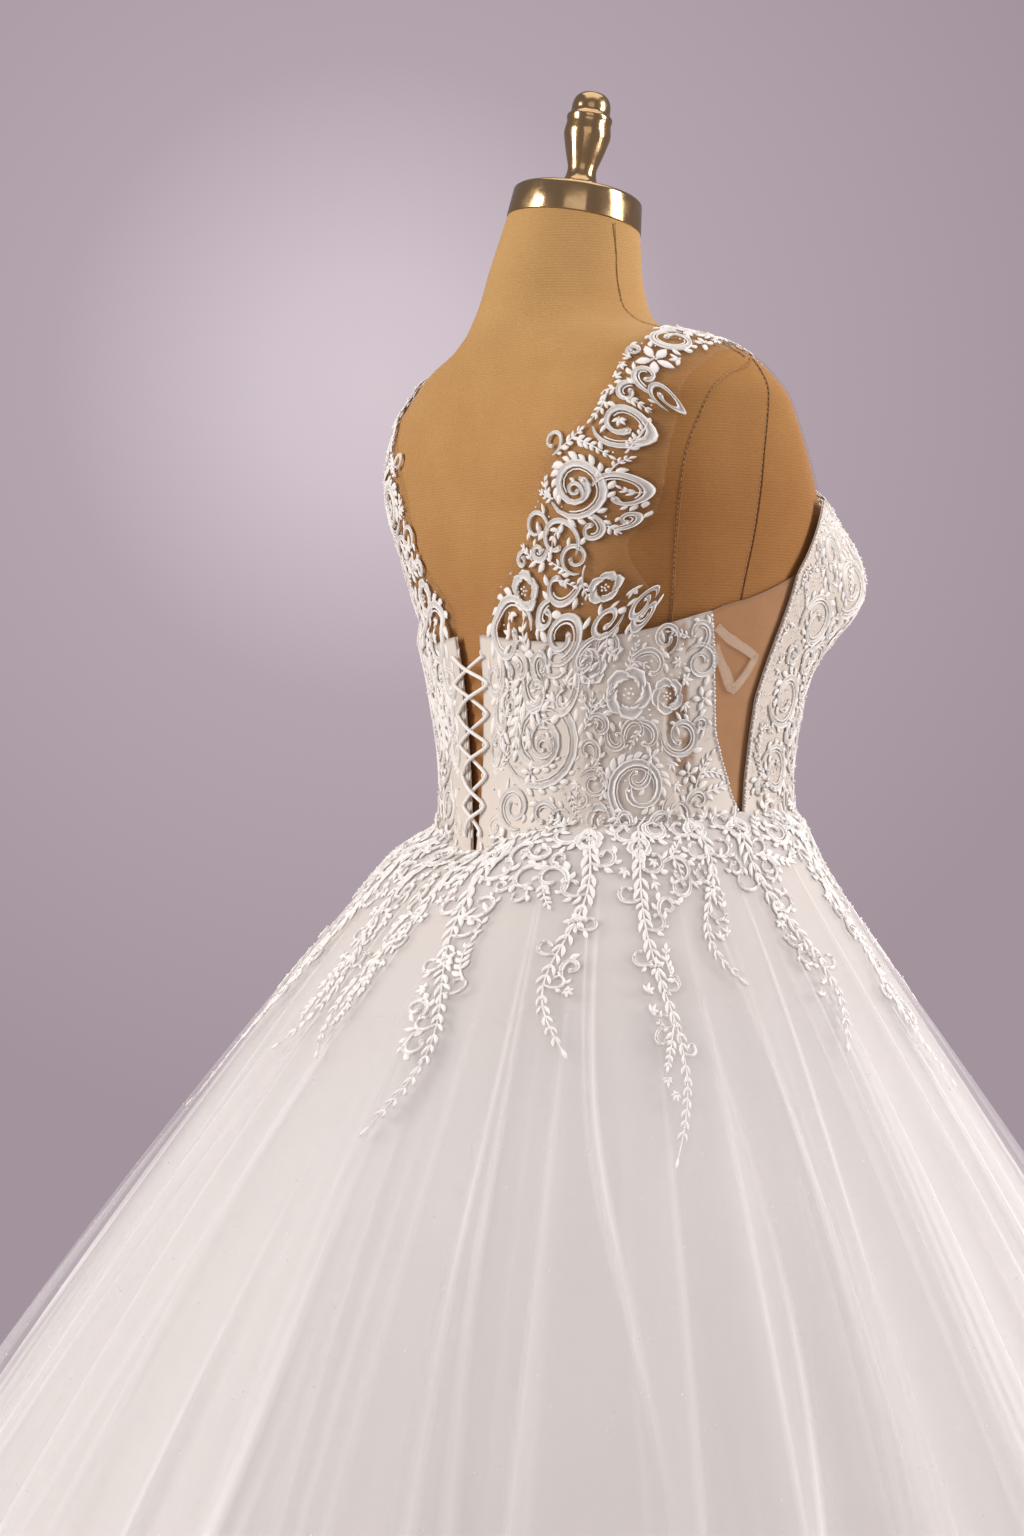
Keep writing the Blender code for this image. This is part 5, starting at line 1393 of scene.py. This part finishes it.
# Lists of motifs, here and below. Scrolls: centre, radius, where each starts, turns, way round, width, lobes.
# Roses: place and radius, below nought for an open flower. Sprays: place, heading, length, bend, leaf size.
STRAP_SCROLLS = (
    (168, 50, 20, -80, 1.15, 1, 6.2, 0.2), (190, 90, 9.5, 200, 1.1, -1, 3.8, 0.3),
    (166, -14, 19, 100, 0.75, -1, 6.0, 1.3), (134, -4, 23, -60, 1.35, 1, 6.6, 1.2),
    (112, 30, 9, -20, 0.9, 1, 3.4, 0.3), (110, -42, 17, 10, 0.8, 1, 4.6, 0.3),
    (92, -30, 11, 30, 0.9, 1, 3.6, 0.2), (122, -58, 11, 190, 1.1, -1, 3.8, 0.4),
    (52, -92, 21, 60, 0.9, 1, 5.4, 0.8), (100, -106, 15, -60, 1.2, 1, 5.0, 0.3),
    (131, -116, 10, 250, 1.1, -1, 4.4, 0.3), (151, -130, 9, 30, 1.1, 1, 4.0, 0.4),
    (166, 150, 18, 200, 1.1, 1, 5.0, 0.8), (150, 192, 17, 20, 1.1, -1, 5.0, 0.8),
    (134, 228, 17, 160, 1.1, 1, 4.8, 0.8), (120, 270, 17, 0, 1.1, -1, 4.8, 0.8),
    (102, 306, 17, 180, 1.1, 1, 4.8, 0.8), (96, 348, 17, 0, 1.1, -1, 4.8, 0.8),
    (70, 376, 15, 120, 1.1, 1, 4.6, 0.8), (104, 390, 14, 60, 1.1, -1, 4.4, 0.8),
)
STRAP_ROSES = (
    (72, -70, 13), (136, -90, 12), (172, 118, -15), (180, 170, -10), (128, 206, -10), (144, 252, -10),
    (96, 282, -10), (118, 330, -10), (76, 342, -9), (84, 400, -10),
)
STRAP_SPRAYS = (
    (172, 24, 62, 36, 20, 8.0), (158, 78, 200, 16, 20, 6.5), (156, 110, 185, 18, -30, 6.5),
    (186, 122, 30, 18, 30, 6.0), (150, -40, -50, 30, -40, 7.5), (166, -44, -75, 22, 20, 7.0),
    (112, -12, 165, 24, -40, 6.5), (128, -66, -130, 26, 60, 7.5), (84, -52, 120, 20, 30, 6.0),
    (120, 22, 110, 18, 30, 6.0), (62, -52, 110, 14, -20, 5.5),
)


def place_motifs(lace, roses, scrolls, sprays):
    """Draws the motifs of three lists, roses first."""
    for x, y, radius in roses:
        if radius > 0:
            lace.rose((x, y), radius)
        else:
            lace.flower((x, y), -radius)
    for x, y, radius, start, turns, hand, width, lobes in scrolls:
        lace.stem(volute((x, y), radius, start, turns, hand), width, lobes)
    for x, y, heading, length, bend, size in sprays:
        lace.fern(curl((x, y), heading, length, bend, 10, 1.0), size, sure=True)


def draw_strap():
    """Lace over a shoulder, between its edges towards the neck and towards the arm."""

    def allowed(x, y):
        return (x > line(STRAP_NECK, y)) & (x < line(STRAP_ARM, y)) & (y < STRAP_NECK[-1, 0])

    lace = Lace((14, -150), (206, 414), allowed, seed=41)
    place_motifs(lace, STRAP_ROSES, STRAP_SCROLLS, STRAP_SPRAYS)
    lace.grow(((900, "scroll", 46, 4.8), (900, "fern", 28, 9.0), (900, "scroll", 30, 3.8),
               (900, "fern", 18, 7.5)))
    lace.fringe(8.0, 6.0, 0.74)
    lace.scatter(900, 4.6, lace.palmette, 0.90)
    lace.scatter(160, 1.4, lace.bead)
    return lace


def strap_surface(side):
    """The strap's ground, which rises from the net over the bodice's edges, behind and in front."""

    def surface(x, y, lift):
        height = YOKE_GROUND.at(x * MM, y * MM, 0.0)[..., 2]
        top = np.where(y < 180, line(BACK_TOP, past_at(x * MM, 1.235)), line(FRONT_TOP, x * MM))
        over = soft_step((top + 20 * MM - height) / (14 * MM))
        raised = (BODICE_OUT - NET_LIFT) * over
        return YOKE_GROUND.at(side * x * MM, y * MM, lift + 2.1 * MM + raised)

    return surface


ROUND = 150.0  # millimetres across the flat bodice for each radian round it


def round_mm(degrees):
    """Millimetres across the flat bodice."""
    return np.radians(degrees) * ROUND


def panel_surface(side, lift_by):
    """The bodice laid flat: millimetres round it and up, moved out by a lift."""

    def surface(x, y, lift):
        return form_lifted(turn_of(np.degrees(x / ROUND), side), y * MM, lift + lift_by)

    return surface


def lace_seam(past):
    """How far above the waist seam the hips' lace gives way to the bodice's lace: a wavering line."""
    return (9 - 8 * np.sin(0.33 * np.asarray(past, float))) * MM


BACK_SCROLLS = (
    (72, 1152, 35, -50, 1.45, 1, 7.4, 0.9), (76, 1150, 17, 120, 0.8, 1, 4.6, 0.2),
    (45, 1100, 16, 200, 1.2, -1, 4.8, 0.3), (90, 1088, 10, 120, 1.1, 1, 4.0, 0.3),
    (162, 1114, 28, -110, 1.25, -1, 7.0, 1.2), (198, 1156, 16, 250, 1.1, 1, 4.8, 0.5),
    (212, 1212, 13, 60, 1.2, -1, 4.6, 0.4), (196, 1096, 13, 190, 1.1, 1, 4.4, 0.5),
    (36, 1204, 14, -20, 1.1, -1, 4.4, 0.8), (84, 1212, 13, 200, 1.1, 1, 4.4, 0.6),
    (180, 1230, 11, 0, 1.1, 1, 4.0, 0.4), (122, 1118, 12, 80, 1.1, -1, 4.2, 0.4),
    (132, 1224, 10, 160, 1.0, -1, 3.8, 0.4), (28, 1150, 9, 60, 1.0, 1, 3.4, 0.3),
    (60, 1074, 8, 30, 1.0, -1, 3.2, 0.3),
)
BACK_ROSES = (
    (150, 1188, 20), (116, 1208, 14), (184, 1186, 14), (128, 1090, 13), (50, 1228, -10), (62, 1126, -11),
    (216, 1184, -10), (172, 1140, -9), (206, 1126, -10),
)
BACK_SPRAYS = (
    (112, 1160, 60, 26, 30, 7.0), (118, 1140, -40, 24, -40, 6.5), (44, 1180, 80, 22, 40, 6.5),
    (100, 1112, -80, 24, 30, 6.5), (150, 1204, 90, 22, -30, 6.5), (200, 1230, 150, 18, 30, 6.0),
    (176, 1084, 20, 22, 40, 6.5), (24, 1122, 90, 20, -30, 5.5),
)


def draw_back():
    """Lace on a back panel, from beside the lacing's channel to the side edge."""

    def allowed(x, y):
        past = np.degrees(x / ROUND)
        height = y * MM
        across = (x > round_mm(lacing_edge(height)) + 11) & (x < round_mm(line(SIDE_BACK, height)) - 1.5)
        top = line(BACK_TOP, past) - np.where(x < 116, 24 * MM, MM)
        return across & (height > line(SEAM_HEIGHT, past) + lace_seam(past)) & (height < top)

    lace = Lace((10, 1060), (256, 1256), allowed, seed=17)
    place_motifs(lace, BACK_ROSES, BACK_SCROLLS, BACK_SPRAYS)
    lace.grow(((500, "scroll", 48, 4.8), (500, "fern", 28, 8.5), (500, "scroll", 32, 3.8),
               (160, "fern", 18, 7.0)))
    lace.fringe(7.5, 6.5, 0.84)
    lace.scatter(500, 5.0, lace.palmette)
    lace.scatter(100, 1.4, lace.bead)
    return lace


FRONT_SCROLLS = (
    (298, 1128, 20, 80, 1.2, -1, 5.4, 0.9), (300, 1186, 22, -80, 1.2, 1, 5.6, 0.9),
    (318, 1244, 21, 100, 1.2, -1, 5.4, 0.9), (342, 1148, 20, -100, 1.2, 1, 5.4, 0.9),
    (348, 1208, 22, 60, 1.2, -1, 5.6, 0.9), (362, 1276, 23, -70, 1.2, 1, 5.6, 0.9),
    (384, 1136, 20, 100, 1.2, -1, 5.4, 0.9), (392, 1194, 21, -60, 1.2, 1, 5.4, 0.9),
    (402, 1250, 20, 80, 1.2, -1, 5.4, 0.9), (428, 1122, 18, -90, 1.2, 1, 5.0, 0.9),
    (434, 1176, 19, 90, 1.2, -1, 5.2, 0.9), (446, 1226, 15, -80, 1.1, 1, 4.8, 0.9),
    (334, 1298, 15, 20, 1.1, 1, 4.8, 0.9), (452, 1096, 14, 60, 1.1, 1, 4.6, 0.8),
    (330, 1104, 14, 200, 1.1, 1, 4.6, 0.8),
)
FRONT_ROSES = (
    (320, 1160, 12), (326, 1216, 12), (368, 1172, 12), (376, 1232, 12), (410, 1160, 12), (384, 1304, 11),
    (420, 1216, 11), (350, 1244, 10), (296, 1220, 9), (360, 1106, 11), (406, 1096, 11), (456, 1146, 9),
)


def draw_front():
    """Dense beaded lace over half of the front, from the side edge to the middle."""

    def allowed(x, y):
        past = np.degrees(x / ROUND)
        height = y * MM
        across = np.abs(form_chart(turn_of(past, 1), height)[..., 0])
        inside = (x > round_mm(line(SIDE_FRONT, height)) + 1.5) & (x < math.pi * ROUND - 0.5)
        below_top = height < line(FRONT_TOP, across) - MM
        return inside & (height > line(SEAM_HEIGHT, past) + lace_seam(past)) & below_top

    lace = Lace((246, 1070), (473, 1342), allowed, seed=31)
    place_motifs(lace, FRONT_ROSES, FRONT_SCROLLS, ())
    lace.grow(((300, "scroll", 46, 3.8), (360, "fern", 24, 6.5), (420, "scroll", 28, 3.0),
               (360, "fern", 15, 5.0)))
    lace.fringe(5.0)
    lace.scatter(160, 3.6, lace.leaf_fan)
    for path, _, _ in lace.stems:
        lace.beads.extend((*point, lace.rng.uniform(0.75, 1.25)) for point in path[2:-2:4])
    lace.scatter(900, 1.4, lace.bead)
    return lace


# The skirt's top laid flat: a cone opened out, so that lengths stay true. A place's distance from the cone's
# tip is its length below the waist plus FAN_START, and its angle the phase times FAN_SPREAD.
FAN_SPREAD = 0.80
FAN_START = 188.0


def fan(past, length):
    """The flat place of degrees past the centre back and millimetres below the waist."""
    turn = np.radians(past) * FAN_SPREAD
    reach = FAN_START + np.asarray(length, float)
    return np.stack([reach * np.sin(turn), -reach * np.cos(turn)], -1)


def fan_surface(side):
    """The skirt's top laid flat as a fan; above the waist seam it goes on up the bodice."""

    def surface(x, y, lift):
        phase = math.pi / 2 - side * np.arctan2(x, -y) / FAN_SPREAD
        length = (np.hypot(x, y) - FAN_START) * MM
        below = SKIRT_GROUND.at(phase, np.clip(length, 0, None), lift + 0.9 * MM)
        turn = skirt_turn(phase) % (2 * math.pi)
        height = np.interp(turn, WAIST_TURN, WAIST_HEIGHT) - np.clip(length, None, 0)
        above = form_lifted(turn, height, lift + OVERSKIRT_STAND + 0.9 * MM)
        return np.where((length < 0)[..., None], above, below)

    return surface


# Sprays of hip lace on each side: degrees past the centre back, length of the fall, and sway in degrees.
HIP_SPRAYS = (
    (6, 200, 3.0), (24, 272, -2.4), (44, 208, 2.6), (61, 300, -2.2), (79, 152, 3.2), (97, 218, -2.6),
    (118, 262, 2.4), (139, 190, -3.0), (157, 246, 2.2), (173, 176, -3.0),
)
HIP_BAND = 66


def draw_hips():
    """Lace over the hips: a dense band under the waist, and long leafy sprays that fall from it."""
    pasts = np.arange(0, 181, 2.0)
    bell = np.max([length * np.exp(-(((pasts - at) / 4.6) ** 2)) for at, length, _ in HIP_SPRAYS], 0)
    edge = np.stack([pasts, np.maximum(HIP_BAND + 14 * np.sin(pasts * 0.21), 0.9 * bell)], 1)

    def allowed(x, y):
        past = np.degrees(np.arctan2(x, -y) / FAN_SPREAD)
        length = np.hypot(x, y) - FAN_START
        inside = (past > np.where(length < 2, 4.0, 1.0)) & (past < 179.6)
        return inside & (length * MM > -lace_seam(past)) & (length < line(edge, past))

    lace = Lace((-250, -500), (500, 500), allowed, seed=53, cell=1.3)
    for past, length, sway in HIP_SPRAYS:
        part = np.linspace(0, 1, 40)
        swing = sway * np.sin(part * 6.4) * (0.9 + 0.5 * part)
        path = fan(past + swing, -6 + (length + 2) * part)
        lace.rose(path[4], 11.0)
        lace.flower(path[18], 9.0)
        lace.vine(path, 13.5)
        lace.beads.extend((*point, 1.0) for point in path[6:-1:5])
    for past in np.arange(3, 179, 8.0):
        hand = lace.rng.choice((-1, 1))
        turn = past * FAN_SPREAD - 90
        centre = fan(past, lace.rng.uniform(6, 30))
        scroll = volute(centre, lace.rng.uniform(12, 17), lace.rng.uniform(0, 360), 1.0, hand)
        lace.stem(scroll, 5.2, 0.9, sure=False)
        heading = turn + lace.rng.uniform(-30, 30)
        sprout = curl(fan(past + 3, -8), heading, lace.rng.uniform(46, 76), hand * 220)
        lace.stem(sprout, 4.6, 0.9, sure=False)
    lace.grow(((700, "scroll", 46, 4.2), (900, "fern", 34, 10.0), (900, "scroll", 30, 3.4),
               (700, "fern", 20, 8.0)))
    lace.fringe(8.5, 6.5, 0.80)
    lace.scatter(500, 4.6, lace.palmette, 0.90)
    for path, _, _ in lace.stems:
        lace.beads.extend((*point, lace.rng.uniform(0.6, 0.95)) for point in path[4:-1:7])
    return lace


def bead_row(name, surface, path, spacing, radius, seed):
    """A row of beads along a flat path, a little uneven in size and spacing."""
    rng = np.random.default_rng(seed)
    along = lengths_along(path)
    at = np.arange(0, along[-1], spacing)
    at = at + rng.uniform(-0.2, 0.2, at.size) * spacing
    x, y = read_at(path, along, at).T
    size = radius * rng.uniform(0.8, 1.15, at.size)
    beads(name, surface(x, y, size * 0.6 * MM), size * MM, PEARL)


def build_bead_rows(name, side):
    """Beads sewn along the back panel's side edge and the front's side edge."""
    surface = panel_surface(side, BODICE_OUT)
    rows = (("back", SIDE_BACK, 1.092, 1.248, -1.2), ("front", SIDE_FRONT, 1.094, 1.334, 1.2))
    for kind, table, low, high, inset in rows:
        heights = np.linspace(low, high, 80)
        edge = np.stack([round_mm(line(table, heights)) + inset, heights / MM], 1)
        bead_row(f"beads_side_{kind}_{name}", surface, edge, spacing=2.8, radius=1.3, seed=71)


# ---------------------------------------------------------------- the lacing and the hanger ribbons
LOOP_HEIGHTS = (1.220, 1.196, 1.172, 1.148, 1.124, 1.100, 1.078)
RIBBON_WIDTH = 6.6  # in millimetres, as the strokes are
CORD_RADIUS = 1.5 * MM
CORD_LIFT = BODICE_OUT + 0.8 * MM + CORD_RADIUS + 0.4 * MM


def back_point(x, height, lift):
    """A point off the back at a distance across, left above nought, and a height."""
    turn = math.pi / 2 - math.copysign(1, x) * np.radians(past_at(abs(x), height))
    return form_lifted(turn, height, lift)


def eased(points, count):
    """A smooth curve through points: cubics whose slope at a point is half the step past it."""
    points = np.asarray(points, float)
    slope = np.gradient(points, axis=0)
    at = np.linspace(0, len(points) - 1, count)
    low = np.minimum(at.astype(int), len(points) - 2)
    t = (at - low)[:, None]
    return ((1 + 2 * t) * (1 - t) ** 2 * points[low] + t * (1 - t) ** 2 * slope[low]
            + t * t * (3 - 2 * t) * points[low + 1] + t * t * (t - 1) * slope[low + 1])


def build_lacing(name, first_side, crossing_raise):
    """A cord that zigzags down between the loops, from the first side at the top; its ends are tucked in."""
    places, side = [], first_side
    for number, height in enumerate(LOOP_HEIGHTS):
        edge = float(line(LACING_GAP, height))
        for x, up in ((edge + 5 * MM, 2.5 * MM), (edge + 5 * MM, -2 * MM)):
            if number > 0 or up < 0:
                places.append(back_point(side * x, height + up, CORD_LIFT))
        if number < len(LOOP_HEIGHTS) - 1:
            middle = (height + LOOP_HEIGHTS[number + 1]) / 2 + 0.5 * MM
            places.append(back_point(1e-5, middle, CORD_LIFT + crossing_raise))
        side = -side
    made = tubes(f"{name}_braid", [eased(places, 150)], CORD_RADIUS, 10, CORD)
    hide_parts(name)


def build_loops(name, side):
    """Rouleau loops under a back panel's edge: one round loop for each crossing, on a narrow tape."""
    loops = []
    for height in LOOP_HEIGHTS:
        edge = float(line(LACING_GAP, height))
        turn = np.linspace(-2.3, 2.3, 22)
        x = edge + 3.4 * MM - 4.6 * MM * np.cos(turn)
        lift = 2.4 * MM + 3.4 * MM * np.clip(np.cos(turn), 0, 1)
        z = height + 4.2 * MM * np.sin(turn)
        loops.append(np.array([back_point(side * a, b, c) for a, b, c in zip(x, z, lift)]))
    heights = np.linspace(1.068, 1.224, 50)
    tape = np.array([back_point(side * (line(LACING_GAP, h) + 4.5 * MM), h, 2.3 * MM) for h in heights])
    made = tubes(f"rouleau_loops_{name}", loops + [tape], 0.95 * MM, 8, CORD)
    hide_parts(f"lacing_loops_{name}")


def build_hanger_ribbon(name, side):
    """A sheer ribbon loop for the hanger: flat strokes from the corset's top, down, back and up."""
    corner = np.array((227.5, 1236.0))
    path = resampled(corner + [(-3, 2), (12, -11), (28, -20), (21, -34), (12, -46), (6, -31), (-3, -12)], 60)
    off = sideways(path) * RIBBON_WIDTH / 2
    lift = (NET_LIFT + 1.4 * MM + 1.6 * MM * np.sin(np.linspace(0, math.pi, 60)))[:, None]
    grid = np.stack([path - off, path + off], 1)
    surface = panel_surface(side, 0.0)
    inner, outer = (surface(grid[..., 0], grid[..., 1], lift + extra) for extra in (0.0, 0.35 * MM))
    made = wall(f"ribbon_loop_{name}", inner, outer, RIBBON)
    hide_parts(f"hanger_ribbon_{name}")


FLECKS = 2600


def build_glitter():
    """Flecks of glitter on the outer tulle: small flat-sided beads, thinly strewn and denser low down."""
    rng = np.random.default_rng(77)
    phase = rng.uniform(0, 2 * math.pi, FLECKS)
    length = SKIRT_CLOTH * np.sqrt(rng.uniform(0.01, 1.0, FLECKS))
    centres = outer_chart(phase, length)
    centres = centres + unit(centres * LEVEL) * 0.4 * MM
    made = beads("tulle_glitter", centres, rng.uniform(0.4, 0.9, FLECKS) * MM, GLITTER, FLECK, FLECK_FACES)


# ---------------------------------------------------------------- light, floor and camera
# The wall's tones against the distance from the pool's middle.
WALL_TONES = (
    (0.00, (0.680, 0.580, 0.635)), (0.03, (0.640, 0.545, 0.600)), (0.09, (0.455, 0.375, 0.425)),
    (0.14, (0.420, 0.345, 0.390)), (0.22, (0.360, 0.290, 0.335)), (0.90, (0.385, 0.318, 0.362)),
)


def build_world():
    """A plain dim surround, and the wall that the camera sees: lilac, with a soft pool of light on it."""
    world = bpy.data.worlds.new("studio")
    bpy.context.scene.world = world
    world.use_nodes = True
    tree = world.node_tree
    away, right, up = view_axes()
    back = tree.nodes["Background"]
    back.inputs["Strength"].default_value = 0.56
    where = add(tree, "ShaderNodeTexCoord").outputs["Generated"]
    level = add(tree, "ShaderNodeSeparateXYZ", Vector=where).outputs["Z"]
    dim = tones(tree, ranged(tree, level, -0.3, 0.3), (0.0, (0.50, 0.42, 0.42)), (1.0, (0.44, 0.40, 0.43)))
    tree.links.new(dim, back.inputs["Color"])
    middle = (up * 0.110 - right * 0.040 - away).normalized()
    spot = add(tree, "ShaderNodeVectorMath", {"operation": "DISTANCE"}, i0=where, i1=middle).outputs["Value"]
    backdrop = add(tree, "ShaderNodeBackground", Color=tones(tree, spot, *WALL_TONES))
    seen = add(tree, "ShaderNodeLightPath").outputs["Is Camera Ray"]
    both = add(tree, "ShaderNodeMixShader", Fac=seen, i1=back.outputs[0], i2=backdrop.outputs[0])
    tree.links.new(both.outputs[0], tree.nodes["World Output"].inputs["Surface"])


FLOOR_RADIUS = 2.2
FLOOR_FADE = (1.3, 2.15)  # the distances between which the floor fades out


def build_floor():
    """A pale round floor that fades out towards its edge."""
    floor_finish, tree, shader = finish("pale_floor", (0.62, 0.58, 0.61), 0.9)
    reach = add(tree, "ShaderNodeVectorMath", {"operation": "LENGTH"}, i0=place_of(tree)).outputs["Value"]
    tree.links.new(ranged(tree, reach, *FLOOR_FADE, 1.0, 0.0, soft=True), shader.inputs["Alpha"])
    ring = np.linspace(0, 2 * math.pi, 96, endpoint=False)
    disc = np.stack([FLOOR_RADIUS * np.cos(ring), FLOOR_RADIUS * np.sin(ring), 0 * ring], -1)
    mesh = bpy.data.meshes.new("floor")
    mesh.from_pydata(disc, [], [list(range(96))])
    mesh.materials.append(floor_finish)
    floor = bpy.data.objects.new("floor", mesh)
    bpy.context.scene.collection.objects.link(floor)


# The soft lights: how far to the camera's right, towards it and up, width, power and colour. All have the
# same length and look at the gown's middle.
LIGHTS = {
    "left": (-2.9, 1.0, 2.1, 1.0, 86, (1.0, 0.965, 0.93)),
    "right": (2.9, 0.7, 2.0, 1.0, 86, (1.0, 0.97, 0.95)),
    "front": (0.0, 3.2, 2.3, 2.0, 10, (1.0, 0.95, 0.90)),
    "top": (0.2, 0.0, 3.4, 2.2, 23, (1.0, 0.98, 0.97)),
    "rim": (1.6, -2.4, 2.2, 1.6, 26, (1.0, 0.98, 1.0)),
}
LIGHT_LENGTH = 2.2
LIGHT_AIM = Vector((0, 0, 1.05))


def build_lights():
    """Five large soft lights; the rim light doesn't show in reflections."""
    away, right, up = view_axes()
    for name, (aside, towards, height, width, power, color) in LIGHTS.items():
        data = bpy.data.lights.new(name, "AREA")
        data.shape = "RECTANGLE"
        data.size, data.size_y = width, LIGHT_LENGTH
        data.energy = power
        data.color = color
        lamp = bpy.data.objects.new(name, data)
        lamp.location = right * aside + away * towards + up * height
        lamp.visible_glossy = name != "rim"
        lamp.rotation_mode = "QUATERNION"
        lamp.rotation_quaternion = (LIGHT_AIM - lamp.location).to_track_quat("-Z", "Y")
        bpy.context.scene.collection.objects.link(lamp)


# The camera's turn from straight in front, its height, distance and step to its right, and its lens.
VIEW_TURN = math.radians(237)
VIEW_HEIGHT = 1.13
VIEW_DISTANCE = 2.8
VIEW_SIDEWAYS = -0.0792
LENS = 82.03


def view_axes():
    """Away from the gown towards the camera, to the camera's right, and up."""
    away = Vector((math.sin(VIEW_TURN), -math.cos(VIEW_TURN), 0))
    return away, Vector((math.cos(VIEW_TURN), math.sin(VIEW_TURN), 0)), Vector((0, 0, 1))


def build_camera():
    """A level camera that looks straight along the view's axis."""
    away, right, up = view_axes()
    data = bpy.data.cameras.new("camera")
    data.lens = LENS
    data.sensor_width = 36.0
    camera = bpy.data.objects.new("camera", data)
    camera.location = away * VIEW_DISTANCE + right * VIEW_SIDEWAYS + up * VIEW_HEIGHT
    camera.rotation_mode = "QUATERNION"
    camera.rotation_quaternion = (-away).to_track_quat("-Z", "Y")
    bpy.context.scene.collection.objects.link(camera)
    bpy.context.scene.camera = camera


build_camera()
bpy.context.scene.view_settings.view_transform = "Standard"
build_world()
build_floor()
build_lights()
build_form()
build_cover_seams()
build_stand()
strap_lace, back_lace, front_lace, hip_lace = draw_strap(), draw_back(), draw_front(), draw_hips()
for side_name, side_sign in (("left", 1), ("right", -1)):
    build_back_panel(side_name, side_sign)
    build_side_net(side_name, side_sign)
    build_yoke(side_name, side_sign)
    finish_lace("strap_lace", side_name, strap_lace, strap_surface(side_sign))
    finish_lace("back_lace", side_name, back_lace, panel_surface(side_sign, BODICE_OUT + 0.5 * MM))
    finish_lace("front_lace", side_name, front_lace, panel_surface(side_sign, BODICE_OUT + 0.9 * MM))
    finish_lace("hip_lace", side_name, hip_lace, fan_surface(side_sign), HIP_THREAD)
    build_bead_rows(side_name, side_sign)
    build_loops(side_name, side_sign)
    build_hanger_ribbon(side_name, side_sign)
build_lacing("lacing_cord_over", 1, 3.6 * MM)
build_lacing("lacing_cord_under", -1, 0.0)
build_front()
build_skirts()
build_glitter()
